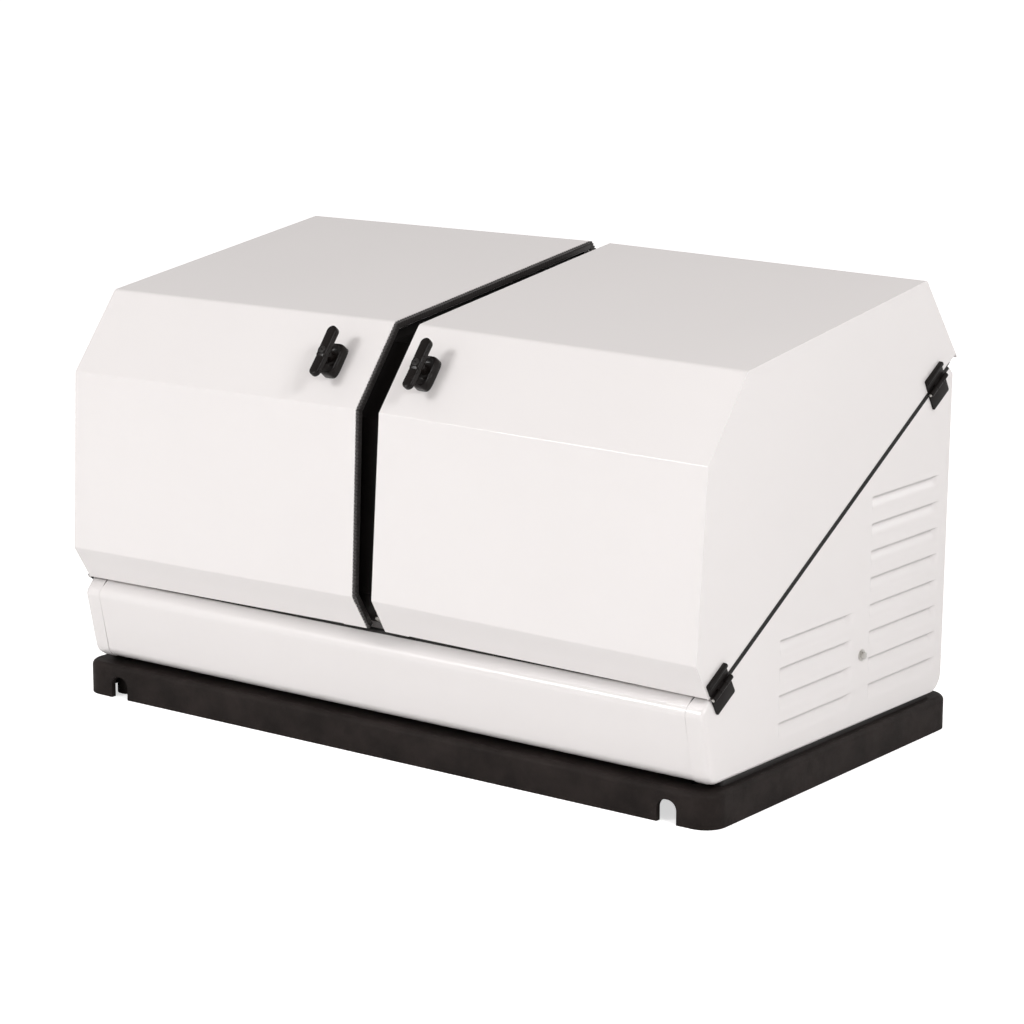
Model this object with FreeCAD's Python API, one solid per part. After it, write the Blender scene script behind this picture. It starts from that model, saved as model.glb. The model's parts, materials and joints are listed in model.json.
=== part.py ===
import FreeCAD, Part
import math
import os
from FreeCAD import Vector

# Air-cooled home standby generator with a moulded base pad and two clamshell lids that
# open on diagonal end hinges. Millimetres. +X runs along the length, the front faces -Y,
# +Z is up, and the origin is on the floor under the centre of the pad.

# ---------------------------------------------------------------- driving sizes
LENGTH = 1240.0             # pad, end to end
PAD_DEPTH = 690.4           # pad, front to back
HEIGHT = 727.4              # rear edge of the lids' top
PAD_HEIGHT = 54.3
PAD_CORNER = 35.0
PAD_EDGE = 9.0
PAD_WALL = 9.0
PAD_TOP = 12.0
END_INSET = 13.7            # pad end to enclosure end
SHEET = 2.0                 # every folded steel sheet of the enclosure
TRAY_SHEET = 3.0
TRAY_FLANGE = 28.0
TRAY_INSET = 32.0           # tray wall behind the rounded foot of the panels
PANEL_BOTTOM = 62.0
SEAM_GAP = 6.0              # black line between the lids and the body
SEAL_CLEARANCE = 0.4
CENTRE_GAP = 36.0           # between the two lids when they are shut flat
LID_REST_ANGLE = 0.85       # the lids stand this far open when they aren't latched
LID_OVERHANG = 7.7          # rear edge of the lid skin below the seam
LID_FLANGE = 12.0
CORNER_FLANGE = 29.0        # end panel's turn onto the front
CORNER_GAP = 3.0

# outer profile of the lids, from the front seam over the top to the rear seam
FRONT = -PAD_DEPTH / 2
REAR = PAD_DEPTH / 2
SEAM_FRONT = (FRONT + 6.6, 195.1)
NOSE = (FRONT - 27.6, 250.9)
SLOPE_FOOT = (FRONT - 10.6, HEIGHT - 188.9)
SLOPE_HEAD = (FRONT + 86.6, HEIGHT - 67.2)
TOP_REAR = (REAR - 97.3, HEIGHT)
SEAM_REAR = (REAR + 7.6, HEIGHT - 132.8)
NOSE_RADIUS = 7.0
SLOPE_FOOT_RADIUS = 3.0
SLOPE_HEAD_RADIUS = 10.0
TOP_REAR_RADIUS = 6.0

# body below the seam
SKIRT_TOP_INSET = 15.2
SKIRT_BULGE = (FRONT - 7.8, 176.0, 16.0)
SKIRT_FOOT = (FRONT + 17.2, PANEL_BOTTOM, 22.0)
REAR_FOOT = (REAR - 14.2, PANEL_BOTTOM, 30.0)
REAR_SHOULDER = (REAR - 4.2, HEIGHT - 157.4, 4.0)
REAR_TOP_INSET = 16.2
SEAM_FLANGE = 30.0

# louvers of one end: bank front y, back y, top edge of the highest, how many
LOUVER_BANKS = ((FRONT + 195.2, FRONT + 403.2, 243.0, 4), (FRONT + 450.2, FRONT + 658.2, 414.0, 8))
LOUVER_PITCH = 42.0
LOUVER_HEIGHT = 26.0
LOUVER_DEPTH = 13.0
LOUVER_CORNER = 12.0

# hinges
HINGE_STANDOFF = 5.0        # pin axis outside the end face
HINGE_FROM_FRONT = 30.0     # first hinge's centre from the front end of the seam
HINGE_FROM_REAR = 78.0
HINGE_LENGTH = 52.0
KNUCKLE_RADIUS = 4.5
PIN_RADIUS = 2.5
RUNNING_CLEARANCE = 0.05
KNUCKLE_GAP = 0.6
LEAF_THICKNESS = 3.0

# latches on the front slope
LATCH_CENTRE = (-93.0, 77.0)
LATCH_UP_SLOPE = 73.0
LATCH_BASE = (54.0, 29.0, 17.0)
LATCH_GRIP = (86.0, 18.0, 12.0)
LATCH_TOP = 42.0
SPINDLE_RADIUS = 8.0
LOCK_RADIUS = 6.0
PAWL_THICKNESS = 4.0
PAWL_CLEARANCE = 1.2

# centre channel under the gap between the lids
CHANNEL_HALF = 44.0
CHANNEL_CATCH = 16.0
CHANNEL_TOP = 17.0          # below the lids' outer face
CHANNEL_DEPTH = 15.0

END = LENGTH / 2 - END_INSET
REST_LIFT = (END + HINGE_STANDOFF) * math.sin(math.radians(LID_REST_ANGLE))
TRAY_TOP = PAD_HEIGHT + TRAY_SHEET
TRAY_FRONT = SKIRT_FOOT[0] + TRAY_INSET
TRAY_REAR = REAR_FOOT[0] - TRAY_INSET
NODES = {}


# ---------------------------------------------------------------- helpers
def place(plane, u, v, w):
    """A point from a section's (u, v) and its height w across the section."""
    if plane == "YZ":
        return Vector(w, u, v)
    if plane == "XZ":
        return Vector(u, w, v)
    return Vector(u, v, w)


def rounded_wire(corners, plane, w):
    """Closed wire through corners (u, v, radius), each rounded by its own arc."""
    edges = []
    ends = []
    count = len(corners)
    for i in range(count):
        here = Vector(corners[i][0], corners[i][1], 0)
        before = Vector(corners[i - 1][0], corners[i - 1][1], 0) - here
        after_corner = corners[(i + 1) % count]
        after = Vector(after_corner[0], after_corner[1], 0) - here
        radius = corners[i][2] if len(corners[i]) > 2 else 0.0
        half = before.getAngle(after) / 2
        if radius <= 0 or abs(half - math.pi / 2) < 1e-4:
            ends.append((here, here, None))
            continue
        reach = radius / math.tan(half)
        start = here + before.normalize() * reach
        end = here + after.normalize() * reach
        inward = before + after
        middle = here + inward.normalize() * (radius / math.sin(half) - radius)
        ends.append((start, end, middle))
    for i in range(count):
        start, end, middle = ends[i]
        if middle is not None:
            arc = [place(plane, p.x, p.y, w) for p in (start, middle, end)]
            edges.append(Part.Arc(*arc).toShape())
        to = ends[(i + 1) % count][0]
        if (to - end).Length > 1e-6:
            line = [place(plane, p.x, p.y, w) for p in (end, to)]
            edges.append(Part.LineSegment(*line).toShape())
    return Part.Wire(edges)


def prism(corners, plane, low, high):
    """Solid of a rounded outline, from low to high across its plane."""
    face = Part.Face(rounded_wire(corners, plane, low))
    return face.extrude(place(plane, 0, 0, high - low))


def box(x, y, z):
    """Block between two x, two y and two z values."""
    return Part.makeBox(x[1] - x[0], y[1] - y[0], z[1] - z[0], Vector(x[0], y[0], z[0]))


def rod(start, direction, radius, length):
    return Part.makeCylinder(radius, length, Vector(*start), Vector(*direction))


def ring(start, direction, outer, inner, length):
    return rod(start, direction, outer, length).cut(rod(start, direction, inner, length))


def rounded_box(x, y, z, radius, plane="XY"):
    """Block with four edges rounded, across the plane that is named."""
    spans = {"XY": (x, y, z), "XZ": (x, z, y), "YZ": (y, z, x)}[plane]
    u, v, w = spans
    corners = [(u[0], v[0], radius), (u[1], v[0], radius), (u[1], v[1], radius), (u[0], v[1], radius)]
    return prism(corners, plane, w[0], w[1])


def fuse(shapes):
    shapes = list(shapes)
    return shapes[0].multiFuse(shapes[1:]).removeSplitter() if len(shapes) > 1 else shapes[0]


def mirrored(shape):
    return shape.mirror(Vector(0, 0, 0), Vector(1, 0, 0))


def sideways(points, distance):
    """Corners (y, z, radius) of a path moved to its right by distance."""
    moved = []
    for i, corner in enumerate(points):
        normals = []
        for a, b in ((i - 1, i), (i, i + 1)):
            if a < 0 or b >= len(points):
                continue
            dy = points[b][0] - points[a][0]
            dz = points[b][1] - points[a][1]
            length = math.hypot(dy, dz)
            normals.append((dz / length, -dy / length))
        ny = sum(n[0] for n in normals) / len(normals)
        nz = sum(n[1] for n in normals) / len(normals)
        square = ny * ny + nz * nz
        radius = max(corner[2] - distance, 0.0) if corner[2] > 0 else 0.0
        moved.append((corner[0] + ny / square * distance, corner[1] + nz / square * distance, radius))
    return moved


def strip(path, near, far):
    """Outline of the band between two distances to the right of a path."""
    return sideways(path, near) + sideways(path, far)[::-1]


def add(name, shape):
    NODES[name] = shape


# ---------------------------------------------------------------- the seam plane
run = SEAM_REAR[0] - SEAM_FRONT[0]
rise = SEAM_REAR[1] + LID_OVERHANG - SEAM_FRONT[1]
SEAM_LENGTH = math.hypot(run, rise)
ALONG = Vector(0, run / SEAM_LENGTH, rise / SEAM_LENGTH)
ACROSS = Vector(0, -ALONG.z, ALONG.y)
LID_EDGE = ACROSS.dot(Vector(0, *SEAM_FRONT))
BODY_EDGE = LID_EDGE - SEAM_GAP
PIN_LEVEL = LID_EDGE - SEAM_GAP / 2
SEAM_START = ALONG.dot(Vector(0, *SEAM_FRONT))


def seam_z(y, level):
    """Height of the seam plane at y, at a level measured across the seam."""
    return (level + ALONG.z * y) / ALONG.y


def seam_point(x, along, level):
    return Vector(x, 0, 0) + ALONG * along + ACROSS * level


def to_level(point, other, level):
    """The line from other through point, run on or cut back to a level across the seam."""
    p = Vector(0, point[0], point[1])
    step = (p - Vector(0, other[0], other[1])).normalize()
    p = p + step * ((level - ACROSS.dot(p)) / ACROSS.dot(step))
    return (p.y, p.z, 0.0)


def seam_block(x, along, level):
    """Block whose edges run along X, along the seam and across it."""
    block = Part.makeBox(x[1] - x[0], along[1] - along[0], level[1] - level[0])
    block.rotate(Vector(0, 0, 0), Vector(1, 0, 0), math.degrees(math.atan2(ALONG.z, ALONG.y)))
    block.translate(seam_point(x[0], along[0], level[0]))
    return block


PROFILE = [SEAM_FRONT + (0.0,), NOSE + (NOSE_RADIUS,), SLOPE_FOOT + (SLOPE_FOOT_RADIUS,),
           SLOPE_HEAD + (SLOPE_HEAD_RADIUS,), TOP_REAR + (TOP_REAR_RADIUS,), SEAM_REAR + (0.0,)]
BODY_TOP_FRONT = (FRONT + SKIRT_TOP_INSET, seam_z(FRONT + SKIRT_TOP_INSET, BODY_EDGE), 3.0)
BODY_TOP_REAR = (REAR - REAR_TOP_INSET, seam_z(REAR - REAR_TOP_INSET, BODY_EDGE), 3.0)


def opened(shape, side, angle=LID_REST_ANGLE):
    """A lid's piece turned about its hinge pins; side is 1 on the right, -1 on the left."""
    moved = shape.copy()
    moved.rotate(seam_point(side * (END + HINGE_STANDOFF), 0, PIN_LEVEL), ALONG * side, angle)
    return moved


# ---------------------------------------------------------------- base pad and tray
ANCHOR_SPACING = (LENGTH - 120.0, PAD_DEPTH - 90.0)
ANCHOR_RADIUS = 7.0
ANCHOR_BOSS = 20.0
RIB = 8.0
NOTCH_WIDTH = 34.0
NOTCH_HEIGHT = 36.0
NOTCH_FROM_END = 79.5


def make_pad():
    half_x = LENGTH / 2
    half_y = PAD_DEPTH / 2
    body = rounded_box((-half_x, half_x), (-half_y, half_y), (0, PAD_HEIGHT), PAD_CORNER)
    top_edges = [e for e in body.Edges if min(v.Z for v in e.Vertexes) > PAD_HEIGHT - 0.01]
    body = body.makeFillet(PAD_EDGE, top_edges)
    inner = PAD_WALL
    hollow = rounded_box((-half_x + inner, half_x - inner), (-half_y + inner, half_y - inner),
                         (-1, PAD_HEIGHT - PAD_TOP), PAD_CORNER - inner)
    ribs = [box((-half_x, half_x), (-RIB / 2, RIB / 2), (-1, PAD_HEIGHT))]
    for share in (-0.5, 0.0, 0.5):
        middle = share * half_x
        ribs.append(box((middle - RIB / 2, middle + RIB / 2), (-half_y, half_y), (-1, PAD_HEIGHT)))
    ribs.append(rod((0, 0, -1), (0, 0, 1), 40.0, PAD_HEIGHT + 1))
    for sx in (-1, 1):
        for sy in (-1, 1):
            spot = (sx * ANCHOR_SPACING[0] / 2, sy * ANCHOR_SPACING[1] / 2, -1)
            ribs.append(rod(spot, (0, 0, 1), ANCHOR_BOSS, PAD_HEIGHT + 1))
    pad = body.cut(hollow.cut(fuse(ribs)))
    arch = NOTCH_WIDTH / 2
    for sx in (-1, 1):
        middle = sx * (half_x - NOTCH_FROM_END)
        corners = [(middle - arch, -1), (middle + arch, -1),
                   (middle + arch, NOTCH_HEIGHT, arch * 0.9), (middle - arch, NOTCH_HEIGHT, arch * 0.9)]
        for y in (-half_y - 1, half_y - PAD_WALL - 1):
            pad = pad.cut(prism(corners, "XZ", y, y + PAD_WALL + 2))
    for sx in (-1, 1):
        for sy in (-1, 1):
            spot = (sx * ANCHOR_SPACING[0] / 2, sy * ANCHOR_SPACING[1] / 2, -1)
            pad = pad.cut(rod(spot, (0, 0, 1), ANCHOR_RADIUS, PAD_HEIGHT + 2))
    return pad


def make_tray():
    half_x = END - SHEET
    front = TRAY_FRONT
    rear = TRAY_REAR
    top = TRAY_TOP + TRAY_FLANGE
    outer = rounded_box((-half_x, half_x), (front, rear), (PAD_HEIGHT, top), 6.0)
    wall = TRAY_SHEET
    inner = rounded_box((-half_x + wall, half_x - wall), (front + wall, rear - wall), (TRAY_TOP, top + 1), 3.0)
    tray = outer.cut(inner)
    for sx in (-1, 1):
        for sy in (-1, 1):
            spot = (sx * ANCHOR_SPACING[0] / 2, sy * ANCHOR_SPACING[1] / 2, PAD_HEIGHT - 1)
            tray = tray.cut(rod(spot, (0, 0, 1), ANCHOR_RADIUS + 1.0, 10))
    return tray


add("base_pad", make_pad())
add("base_tray", make_tray())


# ---------------------------------------------------------------- fixed panels
def on_seam(shape):
    """Turn a shape drawn with y along the seam and z across it onto the seam."""
    return shape.rotate(Vector(0, 0, 0), Vector(1, 0, 0), math.degrees(math.atan2(ALONG.z, ALONG.y)))


def seam_end(corner, step):
    """End of a folded flange that runs along the seam from a corner of the body."""
    return (corner[0] + ALONG.y * step, corner[1] + ALONG.z * step, 0.0)


FRONT_PATH = [(TRAY_FRONT, PANEL_BOTTOM, 0.0), SKIRT_FOOT, SKIRT_BULGE, BODY_TOP_FRONT,
              seam_end(BODY_TOP_FRONT, SEAM_FLANGE)]
REAR_PATH = [seam_end(BODY_TOP_REAR, -SEAM_FLANGE), BODY_TOP_REAR, REAR_SHOULDER, REAR_FOOT,
             (TRAY_REAR, PANEL_BOTTOM, 0.0)]


def make_louver():
    """One pressed-in louver: its window in the sheet and its hollow scoop, top edge at z 0."""
    length = LOUVER_BANKS[0][1] - LOUVER_BANKS[0][0]

    def blank(grow, depth_grow):
        low = -LOUVER_HEIGHT - grow
        corner = LOUVER_CORNER + grow
        outline = [(-grow, low, corner), (length + grow, low, corner),
                   (length + grow, 0, LOUVER_CORNER * 0.3), (-grow, 0, LOUVER_CORNER * 0.3)]
        block = prism(outline, "YZ", END - 2 * LOUVER_DEPTH, END)
        slope = [(END - SHEET - depth_grow, low), (END - LOUVER_DEPTH - depth_grow, 1),
                 (END - 3 * LOUVER_DEPTH, 1), (END - 3 * LOUVER_DEPTH, low)]
        return block.cut(prism(slope, "XZ", -20, length + 20))

    window = blank(0, 0)
    scoop = blank(SHEET, SHEET).cut(window)
    return window, scoop


def make_end_panel():
    outline = [SKIRT_FOOT, SKIRT_BULGE, BODY_TOP_FRONT, BODY_TOP_REAR, REAR_SHOULDER, REAR_FOOT]
    sheet = prism(outline, "YZ", END - SHEET, END)
    fold = prism(strip(FRONT_PATH, 0, SHEET), "YZ", END - CORNER_FLANGE, END - SHEET)
    start = ALONG.dot(Vector(0, BODY_TOP_FRONT[0], BODY_TOP_FRONT[1]))
    stop = ALONG.dot(Vector(0, BODY_TOP_REAR[0], BODY_TOP_REAR[1])) - SEAM_FLANGE - CORNER_GAP
    top = seam_block((END - SEAM_FLANGE / 2, END), (start + SHEET, stop), (BODY_EDGE - SHEET, BODY_EDGE))
    window, scoop = make_louver()
    windows = []
    scoops = []
    for near, far, high, count in LOUVER_BANKS:
        for i in range(count):
            shift = Vector(0, near, high - i * LOUVER_PITCH)
            windows.append(window.translated(shift))
            scoops.append(scoop.translated(shift))
    panel = sheet.multiFuse([fold, top]).cut(Part.makeCompound(windows))
    return panel.multiFuse(scoops).removeSplitter()


VENT_SPAN = (-250.0, END - 60.0)
VENT_HEIGHT = (100.0, 494.0)
VENT_PLATE = 3.0
VENT_SLOT = (80.0, 9.0)
VENT_COLUMNS = 7
VENT_ROWS = 14
INLET_SPOT = (-450.0, 185.0)
INLET_RADIUS = 13.0
CONDUIT_SPOT = (-360.0, 185.0)
CONDUIT_RADIUS = 17.5
REAR_LEAN = (REAR_SHOULDER[0] - REAR_FOOT[0]) / (REAR_SHOULDER[1] - REAR_FOOT[1])


def rear_y(z):
    """Outer face of the leaning rear panel at a height."""
    return REAR_FOOT[0] + REAR_LEAN * (z - REAR_FOOT[1])


def make_rear_panel():
    panel = prism(strip(REAR_PATH, 0, SHEET), "YZ", -END + SHEET, END - SHEET)
    margin = 14.0
    window = box((VENT_SPAN[0] + margin, VENT_SPAN[1] - margin), (REAR - 60, REAR + 20),
                 (VENT_HEIGHT[0] + margin, VENT_HEIGHT[1] - margin))
    holes = [window]
    for (x, z), radius in ((INLET_SPOT, INLET_RADIUS + 4), (CONDUIT_SPOT, CONDUIT_RADIUS + 5)):
        holes.append(rod((x, REAR - 60, z), (0, 1, 0), radius, 90))
    return panel.cut(Part.makeCompound(holes))


def make_vent_panel():
    low, high = VENT_HEIGHT
    section = [(rear_y(low), low), (rear_y(low) + VENT_PLATE, low + 2),
               (rear_y(high) + VENT_PLATE, high - 2), (rear_y(high), high)]
    plate = prism(section, "YZ", *VENT_SPAN)
    pitch_x = (VENT_SPAN[1] - VENT_SPAN[0] - 40) / VENT_COLUMNS
    pitch_z = (high - low - 40) / VENT_ROWS
    slots = []
    for column in range(VENT_COLUMNS):
        middle = VENT_SPAN[0] + 20 + pitch_x * (column + 0.5)
        for row in range(VENT_ROWS):
            level = low + 20 + pitch_z * (row + 0.5)
            slots.append(rounded_box((middle - VENT_SLOT[0] / 2, middle + VENT_SLOT[0] / 2),
                                     (REAR - 60, REAR + 20),
                                     (level - VENT_SLOT[1] / 2, level + VENT_SLOT[1] / 2), 4.4, "XZ"))
    return plate.cut(Part.makeCompound(slots))


def levelled(path):
    """Run both ends of a path to the body's edge."""
    return [to_level(path[0], path[1], BODY_EDGE)] + path[1:-1] + [to_level(path[-1], path[-2], BODY_EDGE)]


def channel_strip(near, far, x):
    loop = levelled(sideways(PROFILE, near)) + levelled(sideways(PROFILE, far))[::-1]
    return prism(loop, "YZ", *x)


def make_channel():
    bottom = CHANNEL_TOP + CHANNEL_DEPTH
    pieces = [channel_strip(bottom - SHEET, bottom, (-CHANNEL_HALF, CHANNEL_HALF))]
    for side in (-1, 1):
        wall = sorted((side * (CHANNEL_HALF - SHEET), side * CHANNEL_HALF))
        catch = sorted((side * (CHANNEL_HALF - SHEET), side * (CHANNEL_HALF + CHANNEL_CATCH)))
        pieces.append(channel_strip(CHANNEL_TOP, bottom, wall))
        pieces.append(channel_strip(CHANNEL_TOP, CHANNEL_TOP + SHEET, catch))
    return fuse(pieces)


def make_channel_seals():
    near = sideways(PROFILE, SHEET + 2.0)
    far = sideways(PROFILE, CHANNEL_TOP)
    start = LID_EDGE + REST_LIFT + SHEET + 2.0
    for path in (near, far):
        path[0] = to_level(path[0], path[1], start)
    strips = []
    for side in (-1, 1):
        x = sorted((side * (CHANNEL_HALF - 4.0), side * (CHANNEL_HALF + 1.0)))
        strips.append(prism(near + far[::-1], "YZ", *x))
    return Part.makeCompound(strips)


def make_seam_seals():
    level = (BODY_EDGE, LID_EDGE - SEAL_CLEARANCE)
    start = ALONG.dot(Vector(0, BODY_TOP_FRONT[0], BODY_TOP_FRONT[1])) + SHEET
    stop = ALONG.dot(Vector(0, BODY_TOP_REAR[0], BODY_TOP_REAR[1])) - SHEET
    depth = 8.0
    side = seam_block((END - 9.0, END - 1.5), (start, stop), level)
    inner = (CHANNEL_HALF + CHANNEL_CATCH + 4.0, END - 9.0 - CORNER_GAP)
    front = seam_block(inner, (start, start + depth), level)
    rear = seam_block(inner, (stop - depth, stop), level)
    half = [side, front, rear]
    return Part.makeCompound(half + [mirrored(s) for s in half])


def hex_bolt(spot, direction, across=10.0, head=5.0, washer=9.0):
    """Hex head on a washer; spot is on the face that it clamps."""
    frame = FreeCAD.Rotation(Vector(0, 0, 1), Vector(*direction))
    points = [Vector(across / math.sqrt(3) * math.cos(math.radians(60 * k)),
                     across / math.sqrt(3) * math.sin(math.radians(60 * k)), 1.5) for k in range(6)]
    wire = Part.makePolygon(points + points[:1])
    bolt = Part.Face(wire).extrude(Vector(0, 0, head)).fuse(rod((0, 0, 0), (0, 0, 1), washer, 1.5))
    bolt.Placement = FreeCAD.Placement(Vector(*spot), frame)
    return bolt


right_end = make_end_panel()
add("end_panel_right", right_end)
add("end_panel_left", mirrored(right_end))
skirt_half = END - CORNER_FLANGE - CORNER_GAP
add("front_panel", prism(strip(FRONT_PATH, 0, SHEET), "YZ", -skirt_half, skirt_half))
add("rear_panel", make_rear_panel())
add("rear_vent_panel", make_vent_panel())
add("centre_channel", make_channel())
add("weather_seals", Part.makeCompound([make_channel_seals(), make_seam_seals()]))

GROUND_BOLT = (FRONT + 429.7, 170.1)
bolts = [hex_bolt((side * END, GROUND_BOLT[0], GROUND_BOLT[1]), (side, 0, 0)) for side in (-1, 1)]
for x in (VENT_SPAN[0] + 10, VENT_SPAN[1] - 10):
    for z in (VENT_HEIGHT[0] + 10, VENT_HEIGHT[1] - 10):
        bolts.append(hex_bolt((x, rear_y(z) + VENT_PLATE + 0.05, z), (0, 1, -REAR_LEAN), 8.0, 4.0, 6.5))
foot = sideways(PROFILE, CHANNEL_TOP + CHANNEL_DEPTH - SHEET)
lean = Vector(0, foot[1][0] - foot[0][0], foot[1][1] - foot[0][1]).normalize()
spot = Vector(-8.0, foot[0][0], foot[0][1]) + lean * 11.0
bolts.append(hex_bolt(tuple(spot), (0, -lean.z, lean.y), 10.0, 9.0, 9.0))
add("panel_bolts", Part.makeCompound(bolts))


# ---------------------------------------------------------------- end hinges
def leaf(x, along, level, radius):
    """Hinge plate drawn along the seam; two values each of x, along and level."""
    corners = [(along[0], level[0], radius), (along[1], level[0], radius), (along[1], level[1]),
               (along[0], level[1])]
    return prism(corners, "YZ", *x)


def make_hinge(centre):
    """Body leaf, lid leaf and pin of one hinge on the right end, drawn on the seam."""
    half = HINGE_LENGTH / 2
    axis_x = END + HINGE_STANDOFF
    third = HINGE_LENGTH / 3
    bore = rod((axis_x, centre - half - 1, PIN_LEVEL), (0, 1, 0), PIN_RADIUS + RUNNING_CLEARANCE,
               HINGE_LENGTH + 2)

    def knuckle(low, high, towards):
        tube = rod((axis_x, low, PIN_LEVEL), (0, 1, 0), KNUCKLE_RADIUS, high - low)
        level = sorted((PIN_LEVEL, PIN_LEVEL + towards * (KNUCKLE_RADIUS + 1.5)))
        return tube.fuse(box((END, axis_x), (low, high), level))

    body = leaf((END, END + LEAF_THICKNESS), (centre - half, centre + half),
                (PIN_LEVEL - 31.0, PIN_LEVEL - KNUCKLE_RADIUS - 1.0), 6.0)
    low_end = (centre - half, centre - third / 2 - KNUCKLE_GAP / 2)
    high_end = (centre + third / 2 + KNUCKLE_GAP / 2, centre + half)
    body = fuse([body, knuckle(*low_end, -1), knuckle(*high_end, -1)]).cut(bore)
    lid = leaf((END, END + LEAF_THICKNESS), (centre - half, centre + half),
               (PIN_LEVEL + KNUCKLE_RADIUS + 1.0, PIN_LEVEL + 25.0), 0.0)
    ridge = rounded_box((END, END + 7.0), (centre - half, centre + half),
                        (PIN_LEVEL + 19.0, PIN_LEVEL + 26.0), 2.5, "XZ")
    middle = (centre - third / 2 + KNUCKLE_GAP / 2, centre + third / 2 - KNUCKLE_GAP / 2)
    lid = fuse([lid, ridge, knuckle(*middle, 1)]).cut(bore)
    pin = rod((axis_x, centre - half - 1.5, PIN_LEVEL), (0, 1, 0), PIN_RADIUS, HINGE_LENGTH + 3.0)
    return on_seam(body), on_seam(lid), on_seam(pin)


HINGE_CENTRES = (SEAM_START + HINGE_FROM_FRONT, SEAM_START + SEAM_LENGTH - HINGE_FROM_REAR)
right_hinges = [make_hinge(centre) for centre in HINGE_CENTRES]
body_leaves = [h[0] for h in right_hinges]
hinge_pins = [h[2] for h in right_hinges]
right_lid_leaves = Part.makeCompound([h[1] for h in right_hinges])
add("hinge_body_leaves", Part.makeCompound(body_leaves + [mirrored(s) for s in body_leaves]))
add("hinge_pins", Part.makeCompound(hinge_pins + [mirrored(s) for s in hinge_pins]))


# ---------------------------------------------------------------- lids
HEM = seam_end(SEAM_FRONT, LID_FLANGE)
LID_PATH = [HEM, SEAM_FRONT + (SHEET,)] + PROFILE[1:]
SLOPE_TILT = math.atan2(SLOPE_HEAD[1] - SLOPE_FOOT[1], SLOPE_HEAD[0] - SLOPE_FOOT[0])


def on_slope(shape, x):
    """Move a shape drawn at the origin, +Y up the slope and +Z out of it, to its latch."""
    shape.rotate(Vector(0, 0, 0), Vector(1, 0, 0), math.degrees(SLOPE_TILT))
    shape.translate(Vector(x, SLOPE_FOOT[0] + math.cos(SLOPE_TILT) * LATCH_UP_SLOPE,
                           SLOPE_FOOT[1] + math.sin(SLOPE_TILT) * LATCH_UP_SLOPE))
    return shape


def make_lid_skin(latch_x):
    """Folded skin of a lid that lies on the +X side."""
    edge = CENTRE_GAP / 2
    notch = CHANNEL_HALF + CHANNEL_CATCH + 4.0
    beside_channel = prism(strip(PROFILE, 0, SHEET), "YZ", edge, notch)
    hemmed = prism(strip(LID_PATH, 0, SHEET), "YZ", notch, END - SHEET)
    rim = prism(strip(PROFILE, 0, SHEET), "YZ", END - SHEET, END)
    flange = prism(strip(PROFILE, SHEET, SHEET + LID_FLANGE), "YZ", edge, edge + SHEET)
    hole = on_slope(rod((0, 0, -10), (0, 0, 1), SPINDLE_RADIUS + 1.5, 20), latch_x)
    return fuse([beside_channel, hemmed, rim, flange]).cut(hole)


def make_lid_end():
    corners = sideways(PROFILE, SHEET)
    corners = [to_level(corners[0], corners[1], LID_EDGE)] + corners[1:-1] + \
              [to_level(corners[-1], corners[-2], LID_EDGE)]
    return prism(corners, "YZ", END - SHEET, END)


for side, latch_x, word in ((1, LATCH_CENTRE[1], "right"), (-1, -LATCH_CENTRE[0], "left")):
    skin = make_lid_skin(latch_x)
    end_sheet = make_lid_end()
    leaves = right_lid_leaves
    if side > 0:
        trim = prism(strip(PROFILE, 0.5, 5.0), "YZ", CENTRE_GAP / 2 - 1.5, CENTRE_GAP / 2)
    else:
        trim = prism(strip(PROFILE, 0.5, 12.5), "YZ", CENTRE_GAP / 2 - 4.0, CENTRE_GAP / 2)
        skin, end_sheet, leaves, trim = [mirrored(s) for s in (skin, end_sheet, leaves, trim)]
    add("lid_" + word + "_skin", opened(skin, side))
    add("lid_" + word + "_end", opened(end_sheet, side))
    add("lid_" + word + "_trim", opened(trim, side))
    add("lid_" + word + "_hinge_leaves", opened(leaves, side))


# ---------------------------------------------------------------- latches
PAWL_LEVEL = -(CHANNEL_TOP + SHEET + REST_LIFT + PAWL_CLEARANCE)


def make_latch_base():
    width, height = LATCH_BASE[1] / 2, LATCH_BASE[2]
    waist = width - 5.0
    section = [(-width, 0), (width, 0), (width, 3), (waist, 8, 6), (waist, height), (-waist, height),
               (-waist, 8, 6), (-width, 3)]
    base = prism(section, "XZ", -LATCH_BASE[0] / 2, LATCH_BASE[0] / 2)
    end = LATCH_BASE[0] / 2
    side_view = [(-end, -1), (end, -1), (end, 3), (end - 8, height + 1), (-end + 8, height + 1), (-end, 3)]
    base = base.common(prism(side_view, "YZ", -50, 50))
    return base.cut(rod((0, 0, -1), (0, 0, 1), SPINDLE_RADIUS + RUNNING_CLEARANCE, height + 2))


def make_latch_handle():
    half = LATCH_GRIP[0] / 2
    width = LATCH_GRIP[1] / 2
    bottom = LATCH_TOP - LATCH_GRIP[2]
    grip = rounded_box((-width, width), (-half, half), (bottom, LATCH_TOP), width - 0.5)
    grip = grip.makeFillet(2.5, [e for e in grip.Edges if min(v.Z for v in e.Vertexes) > LATCH_TOP - 0.01])
    neck = rod((0, 0, LATCH_BASE[2] + 0.3), (0, 0, 1), width, bottom - LATCH_BASE[2])
    spindle = rod((0, 0, PAWL_LEVEL - PAWL_THICKNESS), (0, 0, 1), SPINDLE_RADIUS,
                  bottom - PAWL_LEVEL + PAWL_THICKNESS)
    handle = fuse([grip, neck, spindle])
    return handle.cut(rod((0, 0, bottom + 1), (0, 0, 1), LOCK_RADIUS + RUNNING_CLEARANCE, 40))


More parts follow.
